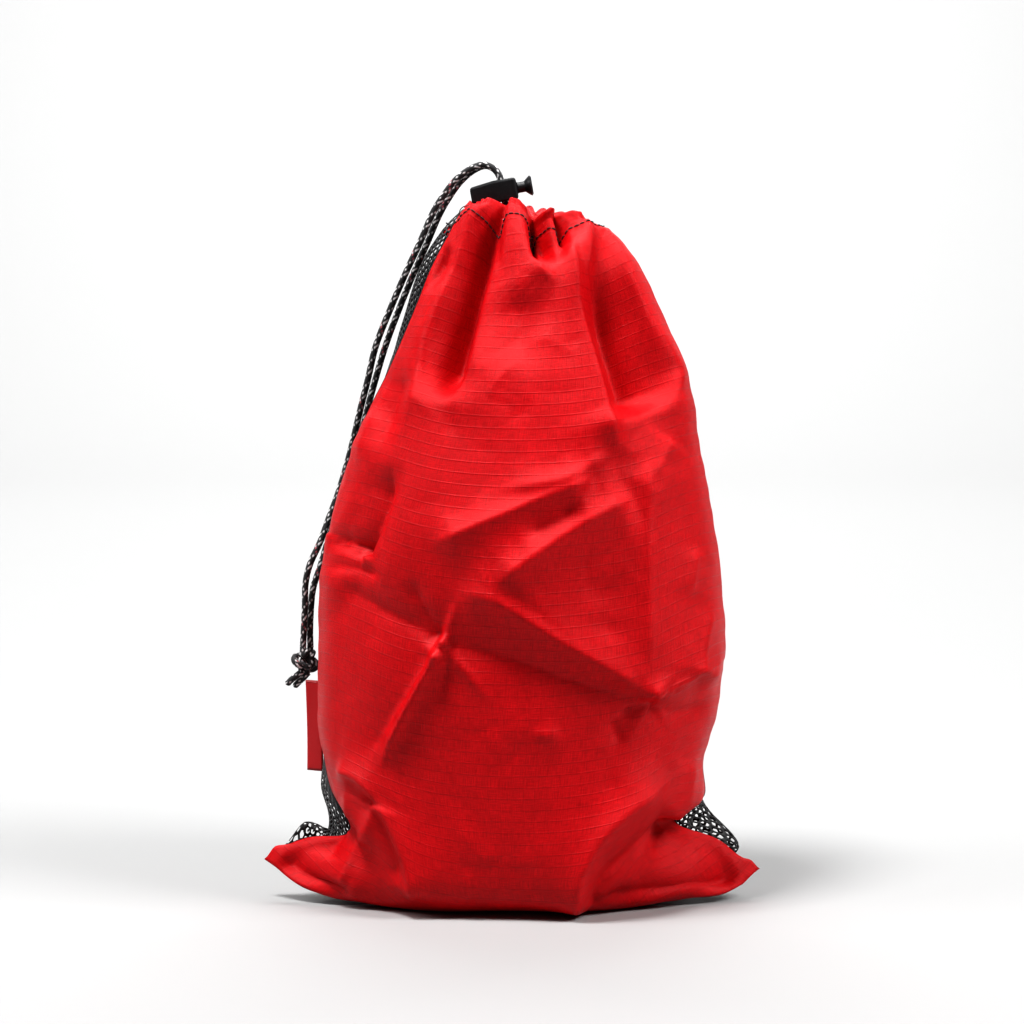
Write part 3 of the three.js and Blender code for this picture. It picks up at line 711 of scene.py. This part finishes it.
def crumple(count, seed):
    """Small creases scattered over the front, as handled nylon has."""
    rng = np.random.default_rng(seed)
    creases = []
    for _ in range(count):
        x, z = rng.uniform(-84, 92), rng.uniform(10, 262)
        angle, reach = rng.uniform(0, math.pi), rng.uniform(5, 20)
        step = np.array([math.cos(angle), math.sin(angle)]) * reach
        bow = np.array([-step[1], step[0]]) * rng.uniform(-0.25, 0.25)
        path = [(x, z) - step, (x, z) + bow, (x, z) + step]
        height = rng.choice([-1, 1]) * rng.uniform(0.15, 0.5)
        widths = rng.uniform(2.5, 8, 2)
        creases.append((path, height, *widths, rng.uniform(0.3, 1.2), 0.45, 0.45))
    return creases


def stronger(creases, gain, narrow, soft=1.0):
    """The creases made higher and sharper. narrow is the share of their width at their start."""
    return [(path, gain * height, left, right, soft * rounded, start, end, narrow)
            for path, height, left, right, rounded, start, end in creases]


FRONT_CREASES = (stronger(UPPER_FOLDS, 1.75, 0.45) + stronger(MIDDLE_CREASES, 2.1, 1.0, 0.6)
                 + stronger(LOWER_PLEATS, 1.5, 1.0, 0.8) + stronger(crumple(110, 11), 1.6, 1.0, 0.6))


def crease_height(x, z, crease):
    path, height, left, right, rounded, start, end, narrow = crease
    line = smooth_line(path, 4)
    total = np.zeros(x.shape)
    margin = 4.5 * max(left, right)
    near = ((x > line[:, 0].min() - margin) & (x < line[:, 0].max() + margin)
            & (z > line[:, 1].min() - margin) & (z < line[:, 1].max() + margin))
    if not near.any():
        return total
    p = np.stack([x[near], z[near]], 1)
    a, ab = line[:-1], np.diff(line, axis=0)
    share = np.clip(((p[:, None] - a) * ab).sum(-1) / (ab * ab).sum(-1), 0, 1)
    away = p[:, None] - (a + share[..., None] * ab)
    squared = (away * away).sum(-1)
    nearest = squared.argmin(1)
    row = np.arange(len(p))
    d = np.sqrt(squared[row, nearest])
    q, t = away[row, nearest], ab[nearest]
    on_left = t[:, 0] * q[:, 1] - t[:, 1] * q[:, 0] > 0
    along = lengths_along(line)
    place = (along[nearest] + share[row, nearest] * np.diff(along)[nearest]) / along[-1]
    fade = smoothstep(0, start, place) * smoothstep(0, end, 1 - place)
    slope = np.where(on_left, left, right) * (narrow + (1 - narrow) * smoothstep(0, 0.45, place))
    mouth = 1 if narrow == 1 else 0.55 + 0.45 * smoothstep(0.08, 0.35, place)
    beyond = np.sqrt(d * d + rounded * rounded) - rounded
    total[near] = height * mouth * fade * np.exp(-beyond / slope)
    return total


def front_folds(base, u, v):
    x = base[..., 0]
    z = 0.9925 * base[..., 2] + 0.122 * (base[..., 1] + 45) + 1.5
    lift = sum(crease_height(x, z, crease) for crease in FRONT_CREASES)
    lift = lift + 1.3 * np.sin(x / 31 + 0.6) * np.sin(z / 44 + 1.1)
    seam = CLOTH_WIDTH / 2 - np.abs(u)
    lift = lift + 0.55 * np.sin(v / 2.1 + 2 * np.sin(v / 17)) * np.exp(-seam / 6)
    pleats = smoothstep(318, 342, v) * np.sin(u / 2.6 + 1.4 * np.sin(u / 13))
    return lift + 0.35 * pleats


def back_folds(u, v):
    gathers = smoothstep(225, 342, v)
    bent = u + 4 * np.sin(u / 15 + v / 70)
    lift = gathers * 3.4 * np.sin(bent / 4.6) * (0.75 + 0.25 * np.sin(u / 11))
    lift = lift + 1.5 * np.sin(u / 26 + v / 90 + 0.5) * np.sin(v / 37 + 0.8)
    seam = CLOTH_WIDTH / 2 - np.abs(u)
    return lift + 0.6 * np.sin(v / 2.6 + 1.5 * np.sin(v / 19)) * np.exp(-seam / 6)


# How far the mouth's edge and the stitching under it are lifted, along x.
RIM = ((-19.4, 0.5), (-14, 2.5), (-8, 3.4), (0, 3.7), (3.5, 2.0), (7, -1.8), (9.3, -3.0),
       (13, -2.4), (19.3, -0.4), (25.2, -2), (29.6, -5))
HEM_WAVE = ((-28, 0), (-24, 3), (-20, 7.5), (-17.5, 8.6), (-12, 4.9), (-6.6, -1), (-5.2, -1),
            (-3.4, 4.6), (-2, 6.8), (2, 6.8), (6.6, 5.6), (8.4, -2.4), (10.7, -2.5), (12.5, 4.0),
            (17, 4.8), (18.9, 3.2), (20.5, -2.8), (22, -3.4), (25.7, 3.8), (30.7, 4.6), (37, 0))

# Where the net is pushed out or in behind the bottom corners: middle, spread and push.
NET_BULGES = (
    ((85, -4, 28.5), (9, 11, 11), (23, 0, -6.5)), ((89, 1, 62), (10, 13, 16), (-12.5, 0, 0)),
    ((-109, -7, 24), (21, 15, 26), (0, 0, 24)), ((-94, 8, 44.5), (8, 7, 16.5), (-7.8, 0, 0)),
)


def net_bulge(base):
    push = np.zeros(base.shape)
    for middle, spread, reach in NET_BULGES:
        away = ((base - np.array(middle)) / np.array(spread)) ** 2
        push = push + np.exp(-away.sum(-1))[..., None] * np.array(reach)
    return push


# The bottom corners are blunter than two straight seams would make them: where along x, over
# what spread, and by what share of their height they swell. The right side seam keeps out until
# just above its corner.
CORNERS = ((108, 5.0, 0.22), (-108, 5.5, 0.20))


def shape_corners(at, base, v):
    x, z = base[..., 0], base[..., 2]
    low = (1 - smoothstep(30, 46, z)) * smoothstep(0, 6, v)
    for middle, spread, gain in CORNERS:
        swell = gain * np.exp(-(((x - middle) / spread) ** 2)) * low
        at[..., 2] += swell * np.maximum(z - 3.0, 0)
    off_ground = smoothstep(1.2, 6, z)
    lowered = 4.5 * smoothstep(76, 100, x) * (1 - 0.75 * smoothstep(104, 112, x))
    at[..., 2] -= lowered * (1 - smoothstep(4, 22, v)) * off_ground
    at[..., 2] -= 2.0 * smoothstep(-86, -104, x) * (1 - smoothstep(4, 18, v)) * off_ground
    at[..., 0] += 5.5 * np.exp(-(((z - 49) / 8) ** 2)) * smoothstep(66, 84, x)
    at[..., 2] -= 3.5 * np.exp(-(((z - 50) / 7) ** 2)) * smoothstep(70, 84, x)


def rim_lift(x, v, side):
    rim_x, rim_z = np.array(RIM).T
    if side > 0:
        rim_x, rim_z = rim_x[[0, -1]], rim_z[[0, -1]]
    lift = np.interp(x, rim_x, rim_z) * smoothstep(322, 345, v)
    if side < 0:
        wave_x, wave_z = np.array(HEM_WAVE).T
        under_rim = smoothstep(312, 332, v) * (1 - smoothstep(333, 345, v))
        lift = lift + np.interp(x, wave_x, wave_z) * under_rim
    return lift


FRONT = Panel(FRONT_FOOT, -1)
BACK = Panel(BACK_FOOT, 1)

# ---- cloth pieces


def closed_cloth(name, middle, thickness, uv, material, replaces=(), flip=False):
    """A closed sheet of cloth on a grid of points, half its thickness to each side of them.

    flip is for a grid whose rows and columns turn the other way, so that its faces point out.
    """
    rows, columns = middle.shape[:2]
    out = unit(np.cross(np.gradient(middle, axis=1), np.gradient(middle, axis=0)))
    points = both_sides(middle, (-out if flip else out) * thickness / 2)
    r, c = np.meshgrid(np.arange(rows - 1), np.arange(columns - 1), indexing="ij")
    a = (r * columns + c).ravel()
    top = np.stack([a, a + 1, a + columns + 1, a + columns], 1)
    n = rows * columns
    under = top[:, ::-1] + n
    rim = np.concatenate([np.arange(columns), np.arange(1, rows) * columns + columns - 1,
                          (rows - 1) * columns + np.arange(columns - 2, -1, -1),
                          np.arange(rows - 2, 0, -1) * columns])
    after = np.roll(rim, -1)
    wall = np.stack([after, rim, rim + n, after + n], 1)
    faces = [top, under, wall]
    if flip:
        faces = [f[:, ::-1] for f in faces]
    flat = uv.reshape(-1, 2)
    mesh = build_mesh(name, points, faces, uv=np.concatenate([flat, flat]))
    return add_piece(name, mesh, material, replaces=replaces)


CLOTH = 0.3           # thickness of the ripstop
HEM_STITCH = 13.0     # from the mouth's edge down to the stitching
HEM_END = 17.0        # and down to the raw edge inside
HEM_PLY = 0.5         # how far inside the cloth the hem lies where it is sewn
CORD_ROOM = 3.9       # and how much farther where the drawcord runs


def hem_gap(below):
    """How far inside the cloth its folded-in hem lies, round the drawcord."""
    round_cord = np.sqrt(np.clip(np.sin(math.pi * np.minimum(below, HEM_STITCH) / HEM_STITCH), 0, 1))
    return HEM_PLY + CORD_ROOM * round_cord * smoothstep(0, 0.6, below + 0.3)


def make_front():
    u = np.linspace(-CLOTH_WIDTH / 2, CLOTH_WIDTH / 2, 181)
    v = np.concatenate([np.linspace(0.4, 300, 210), np.linspace(300, CLOTH_HEIGHT, 46)[1:]])
    uu, vv = np.meshgrid(u, v)
    outer = FRONT.surface(uu, vv)
    below = np.concatenate([[0.15, 0.5, 1.0], np.linspace(1.8, HEM_END, 14)])
    uh, qh = np.meshgrid(u, below)
    inner, _ = FRONT.layer(uh, CLOTH_HEIGHT - qh, hem_gap(qh))
    middle = np.concatenate([outer, inner])
    uv = np.concatenate([np.stack([uu, vv], -1), np.stack([uh, CLOTH_HEIGHT + 2 + qh], -1)])
    return closed_cloth("front_cloth", middle, CLOTH, uv / RIPSTOP_CELL, RIPSTOP,
                        replaces=["front_panel", "front_casing"])


front_cloth = make_front()

NET_PITCH = 2.9       # between the holes of one row
NET_ROW = 2.3         # between rows
NET_START = 1.0       # from the bottom seam to the first row
NET_MARGIN = 1.0      # from a side seam to the first hole
HOLE_SHARE = 0.70     # of a cell's width that is open
NET_THREAD = 0.4      # thickness of the net


def make_net(name, first, last, replaces):
    """Rows first to last of the back: a real net of six-sided holes in staggered rows.

    A first row above 0 is shared with the piece below, which has the threads along it.
    """
    rows = last - first + 1
    columns = int((CLOTH_WIDTH - 2 * NET_MARGIN) / NET_PITCH) - 1
    j, i = np.meshgrid(np.arange(first, last + 1), np.arange(columns), indexing="ij")
    cx = -CLOTH_WIDTH / 2 + NET_MARGIN + NET_PITCH * (0.75 + i + 0.5 * (j % 2))
    cy = NET_START + NET_ROW * (j + 0.5)
    half, tall, shoulder = NET_PITCH / 2, NET_ROW * 0.70, NET_ROW * 0.30
    corners = np.array([(0, tall), (half, shoulder), (half, -shoulder), (0, -tall),
                        (-half, -shoulder), (-half, shoulder)]) * HOLE_SHARE
    wander = 0.12 * np.stack([np.sin(3.1 * cx + 1.7 * cy), np.sin(2.3 * cy - 1.1 * cx)], -1)
    u = (cx + wander[..., 0])[..., None] + corners[:, 0]
    v = (cy + wander[..., 1])[..., None] + corners[:, 1]
    middle, out = BACK.layer(u, v, np.zeros(u.shape))
    middle[..., 2] = np.maximum(middle[..., 2], 0.35)
    points = both_sides(middle, out * NET_THREAD / 2)
    points[:, 2] = np.maximum(points[:, 2], 0.05)
    count = rows * columns * 6
    row, column = (index.ravel() for index in np.indices((rows, columns)))
    right = column + (row + first) % 2
    left = right - 1
    climbs = row < rows - 1

    def faces_where(chosen, *around):
        """Faces from corners of the holes in the chosen cells, each as (row, column, corner)."""
        return np.stack([(r[chosen] * columns + c[chosen]) * 6 + k for r, c, k in around], 1)

    quads = np.concatenate([
        faces_where((row >= min(first, 1)) & (column + 1 < columns),
                    (row, column, 1), (row, column, 2), (row, column + 1, 4), (row, column + 1, 5)),
        faces_where(climbs & (right < columns),
                    (row, column, 0), (row, column, 1), (row + 1, right, 3), (row + 1, right, 4)),
        faces_where(climbs & (left >= 0),
                    (row, column, 5), (row, column, 0), (row + 1, left, 2), (row + 1, left, 3)),
    ])
    triangles = np.concatenate([
        faces_where(climbs & (right < columns) & (left >= 0),
                    (row, column, 0), (row + 1, right, 4), (row + 1, left, 2)),
        faces_where(climbs & (column + 1 < columns) & (right < columns),
                    (row, column, 1), (row, column + 1, 5), (row + 1, right, 3)),
    ])
    edges = np.concatenate([quads[:, [k, (k + 1) % 4]] for k in range(4)]
                           + [triangles[:, [k, (k + 1) % 3]] for k in range(3)])
    keys = edges[:, 0] * count + edges[:, 1]
    open_edges = edges[~np.isin(edges[:, 1] * count + edges[:, 0], keys)]
    walls = np.stack([open_edges[:, 1], open_edges[:, 0], open_edges[:, 0] + count,
                      open_edges[:, 1] + count], 1)
    faces = [quads, triangles, quads[:, ::-1] + count, triangles[:, ::-1] + count, walls]
    mesh = build_mesh(name, points, [f[:, ::-1] for f in faces])
    return add_piece(name, mesh, NETTING, replaces=replaces)


net_low = make_net("back_net_low", 0, 74, ["back_panel"])
net_high = make_net("back_net_high", 74, 147, ["back_panel"])


def net_edge(name, u, v, thickness):
    """A narrow doubled edge of the net, on grids of u and v."""
    middle, _ = BACK.layer(u, v, np.full(u.shape, -0.05))
    middle[..., 2] = np.maximum(middle[..., 2], 0.4)
    closed_cloth(name, middle, thickness, np.stack([u, v], -1), TAPE, flip=True)


def make_net_edges():
    half = CLOTH_WIDTH / 2
    up = np.linspace(0.6, CLOTH_HEIGHT - 1, 260)
    across = np.linspace(0.2, 1.5, 4)
    for name, places in (("net_edge_left", across - half), ("net_edge_right", half - across[::-1])):
        v, u = np.meshgrid(up, places, indexing="ij")
        net_edge(name, u, v, 0.5)
    v, u = np.meshgrid(np.linspace(0.5, 3.4, 5), np.linspace(0.4 - half, half - 0.4, 190),
                       indexing="ij")
    net_edge("net_edge_bottom", u, v, 0.4)


make_net_edges()


def make_back_casing():
    """The ripstop strip that is folded over the net at the mouth and sewn down inside."""
    u = np.linspace(-CLOTH_WIDTH / 2, CLOTH_WIDTH / 2, 181)
    uo, qo = np.meshgrid(u, np.linspace(3.6, 0, 7))
    ui, qi = np.meshgrid(u, np.concatenate([[0.3, 0.8], np.linspace(1.8, HEM_END, 12)]))
    outer, _ = BACK.layer(uo, CLOTH_HEIGHT - qo, np.full(uo.shape, -0.55))
    inner, _ = BACK.layer(ui, CLOTH_HEIGHT - qi, hem_gap(qi))
    outer[-1, :, 2] += 0.5
    middle = np.concatenate([outer, inner])
    uv = np.concatenate([np.stack([uo, -qo], -1), np.stack([ui, qi], -1)]) / RIPSTOP_CELL
    closed_cloth("back_casing_cloth", middle, CLOTH, uv, RIPSTOP,
                 replaces=["back_casing"], flip=True)


make_back_casing()


STITCH = 2.3          # length of one stitch
STITCH_PITCH = 2.9
THREAD_RADIUS = 0.27


def stitched(name, panel, replaces, inward):
    """A row of single stitches, each a short thread that dips into the cloth at both ends."""
    fine = np.linspace(-116, 117, 900)
    line, out = panel.layer(fine, np.full(900, CLOTH_HEIGHT - HEM_STITCH), np.full(900, inward))
    along = lengths_along(line)
    sides, rings = 6, 7
    share = np.linspace(0, 1, rings)
    dip = 0.55 * (2 * share - 1) ** 4
    stitches = []
    for start in np.arange(0.2, along[-1] - STITCH, STITCH_PITCH):
        places = start + STITCH * share
        at = points_at(places, along, line) - points_at(places, along, out) * dip[:, None]
        stitches.append((tube_points(at, THREAD_RADIUS, sides), *tube_faces(rings, sides)))
    add_piece(name, build_mesh(name, *joined(stitches)), THREAD, replaces=replaces)


stitched("front_hem_stitches", FRONT, ["front_casing_stitch"], -0.45)
stitched("back_hem_stitches", BACK, ["back_casing_stitch"], -0.95)


def add_thread(name, line, radius, replaces=()):
    mesh = build_mesh(name, tube_points(line, radius, 6), tube_faces(len(line), 6))
    add_piece(name, mesh, THREAD, replaces=replaces)


def make_bartack():
    """A close zigzag of thread beside the drawcord's exit, with its loose end."""
    count = 26
    place = np.linspace(0, 1, count)
    u = -99 + 5.0 * (np.arange(count) % 2)
    line, _ = FRONT.layer(u, CLOTH_HEIGHT - 1.6 - 6.0 * place, np.full(count, -0.5))
    add_thread("bartack", smooth_line(line, 4), 0.24, ["exit_bartack"])
    loose = line[-1] + [(0, 0, 0), (-2.2, -0.8, -0.6), (-3.6, -0.6, -2.6), (-3.3, -0.7, -4.8)]
    add_thread("thread_end", smooth_line(loose, 6), 0.2)


make_bartack()


CORD_BELOW_RIM = 6.6
CORD_INSIDE = 3.1     # from the cloth in to the middle of the drawcord


def make_cord_in_casing():
    height, inward = np.full(90, CLOTH_HEIGHT - CORD_BELOW_RIM), np.full(90, CORD_INSIDE)
    front, _ = FRONT.layer(np.linspace(-82, 119.5, 90), height, inward)
    back, _ = BACK.layer(np.linspace(119.5, -84, 90), height, inward)
    line = np.concatenate([front, back[1:]])
    for _ in range(5):
        line[1:-1] = 0.5 * line[1:-1] + 0.25 * (line[:-2] + line[2:])
    braided("cord_in_casing", [line], ["drawcord_loop"], phases=(0.2,), sides=16, step=0.8)


make_cord_in_casing()


TAPE_THICKNESS = 0.7


def make_side_tape(name, edge, replaces):
    v = np.linspace(70, 300, 150)
    base, _ = FRONT.layer(np.full(150, edge), v, np.full(150, 0.6))
    inward = unit(np.stack([5.0 - base[:, 0], -base[:, 1], np.zeros(150)], 1))
    depth = np.linspace(0.3, 6.5, 5)
    middle = base[:, None] + inward[:, None] * depth[None, :, None]
    middle[..., 1] += 0.5 * np.sin(v / 9)[:, None] * (depth / depth[-1])[None, :]
    uv = np.stack(np.meshgrid(depth, v), -1)
    closed_cloth(name, middle, TAPE_THICKNESS, uv, TAPE, replaces=replaces)


def make_bottom_tape(name, replaces):
    u = np.linspace(-55, 55, 90)
    base, _ = FRONT.layer(u, np.ones(90), np.zeros(90))
    base[:, 2] = 1.3
    reach = np.linspace(0.2, 6.2, 5)
    middle = base[None] + reach[:, None, None] * np.array([0, 0.94, 0.34])
    middle[..., 2] += 0.3 * np.sin(u / 8)[None, :] * (reach / reach[-1])[:, None]
    uv = np.stack(np.meshgrid(u, reach), -1)
    closed_cloth(name, middle, TAPE_THICKNESS, uv, TAPE, replaces=replaces)


# The tapes that bind the raw edges of the seams, inside the sack.
make_side_tape("seam_tape_left", -118.5, ["left_seam_tape"])
make_side_tape("seam_tape_right", 118.5, ["right_seam_tape"])
make_bottom_tape("seam_tape_bottom", ["bottom_seam_tape"])

# ---- label

LABEL_PIVOT = np.array([-87.3, 8.2, 54.6])
LABEL_WIDTH = 8.0
LABEL_HEIGHT = 42.0
LABEL_TURN = 20.0     # degrees that it leans back from the width of the sack
LABEL_PLY = 0.42      # thickness of the ribbon


def make_label():
    """A ribbon folded in half, a little curled, with both raw ends in the seam."""
    fold = LABEL_PLY
    reach = LABEL_WIDTH - fold - LABEL_PLY / 2
    straight = np.linspace(0, reach, 9)
    bend = np.linspace(0, math.pi, 9)[1:-1]
    x = np.concatenate([-straight, -reach - fold * np.sin(bend), -straight[::-1]])
    y = np.concatenate([np.full(9, fold), fold * np.cos(bend), np.full(9, -fold)])
    along = lengths_along(np.stack([x, y], 1))
    heights = np.linspace(0, LABEL_HEIGHT, 40)
    share = (-x / LABEL_WIDTH)[None, :]
    curl = 0.9 * np.sin(heights / 13 + 0.6)[:, None] * share**2
    points = np.empty((len(heights), len(x), 3))
    points[..., 0] = x[None]
    points[..., 1] = y[None] + curl
    points[..., 2] = heights[:, None] + 0.25 * share * np.sin(heights / 20)[:, None]
    points = turned(points, -math.radians(LABEL_TURN)) + LABEL_PIVOT
    uv = np.stack(np.meshgrid(along, heights), -1)
    label = closed_cloth("label_ribbon", points, LABEL_PLY, uv, LABEL_RIBBON)
    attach(label, "label")
    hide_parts("side_label")
    return label


label = make_label()

# ---- cord lock


LOCK_EDGE = 0.00022   # metres: the rounding of the lock's edges


def finish_lock():
    for name in ("cord_lock_body", "cord_lock_plunger"):
        part = frame["nodes"][name]
        part.data.materials.clear()
        part.data.materials.append(PLASTIC)
        bevel = part.modifiers.new("edges", "BEVEL")
        bevel.width = LOCK_EDGE
        bevel.segments = 2
        bevel.limit_method = "ANGLE"
        bevel.angle_limit = math.radians(32)


finish_lock()

SPRING_TURNS = 5
SPRING_WIRE = 0.5
SPRING_RADIUS = 2.0
SPRING_STEPS = 28     # points in one turn


def make_spring():
    """The coil between the barrel's closed end and the plunger, built at one fixed length, though the real
    one shortens as that is pressed.
    """
    coil = frame["nodes"]["cord_lock_spring"]
    points = np.array([coil.matrix_world @ v.co for v in coil.data.vertices]) / MM
    press = next(joint for joint in frame["joints"] if joint["name"] == "plunger_press")
    outwards = unit(-np.array(press["axis"], float))
    along = points @ outwards
    low, high = along.min() + SPRING_WIRE / 2, along.max() - SPRING_WIRE / 2
    middle = (points.min(0) + points.max(0)) / 2
    middle -= outwards * (middle @ outwards)
    across = np.array([0.0, 1.0, 0.0])
    up = np.cross(outwards, across)
    share = np.linspace(0, 1, SPRING_TURNS * SPRING_STEPS)[:, None]
    angle = 2 * math.pi * SPRING_TURNS * share
    line = (middle + outwards * (low + (high - low) * share)
            + SPRING_RADIUS * (np.cos(angle) * across + np.sin(angle) * up))
    wire = tube_points(line, SPRING_WIRE / 2, 10)
    mesh = build_mesh("lock_spring", wire, tube_faces(len(line), 10))
    spring = add_piece("lock_spring", mesh, STEEL, body="cord_lock",
                       replaces=["cord_lock_spring"])
    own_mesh(spring)


make_spring()

# ---- floor and light


def add_floor():
    """A pale floor that curves up into a backdrop."""
    reach, rise, bend = 2.6, 2.4, 0.9
    angles = np.linspace(0, math.pi / 2, 14)
    profile = [(-2.2, 0.0), (-1.0, 0.0), (0.0, 0.0)]
    profile += [(reach - bend + bend * math.sin(a), bend - bend * math.cos(a)) for a in angles]
    profile.append((reach, rise))
    points = [(x, y, z) for y, z in profile for x in (-4.0, 4.0)]
    quads = np.array([(2 * i, 2 * i + 1, 2 * i + 3, 2 * i + 2) for i in range(len(profile) - 1)])
    mesh = build_mesh("floor", np.array(points) / MM, [quads])
    floor = bpy.data.objects.new("floor", mesh)
    material, _, shader = new_material("floor_paper", Roughness=0.8)
    shader.inputs["Base Color"].default_value = (0.35, 0.35, 0.35, 1)
    mesh.materials.append(material)
    scene.collection.objects.link(floor)
    floor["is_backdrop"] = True


WORLD_LIGHT = 0.05
SACK_MIDDLE = (0.0, 0.0, 0.15)
BACKDROP = (0.0, 2.6, 0.9)
LIGHTS = (   # name, place, size, watts, what it shines at
    ("key", (-0.50, -0.38, 1.82), (0.42, 0.42), 33, SACK_MIDDLE),
    ("fill", (1.10, -0.44, 1.25), (0.5, 0.7), 20, SACK_MIDDLE),
    ("side", (-1.20, -0.25, 1.10), (0.5, 0.9), 7, SACK_MIDDLE),
    ("top", (0.1, 0.6, 1.6), (1.2, 0.9), 4, SACK_MIDDLE),
    ("wall", (0.0, 1.3, 2.2), (2.4, 0.6), 88, BACKDROP),
)


def add_light(name, place, size, watts, target):
    data = bpy.data.lights.new(name, "AREA")
    data.shape = "RECTANGLE"
    data.size, data.size_y = size
    data.energy = watts
    lamp = bpy.data.objects.new(name, data)
    lamp.location = place
    aim(lamp, Vector(target))
    scene.collection.objects.link(lamp)


def add_world():
    world = bpy.data.worlds.new("studio")
    world.use_nodes = True
    background = world.node_tree.nodes["Background"]
    background.inputs["Color"].default_value = (1, 1, 1, 1)
    background.inputs["Strength"].default_value = WORLD_LIGHT
    scene.world = world


add_floor()
for light in LIGHTS:
    add_light(*light)
add_world()
scene.view_settings.view_transform = "Standard"
scene.view_settings.look = "High Contrast"

# ---- size and finish


def as_lists(value):
    if isinstance(value, (int, float)):
        return float(value)
    return [as_lists(part) for part in value]


{"cad": as_lists(cad_bounds), "visual": as_lists(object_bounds())}
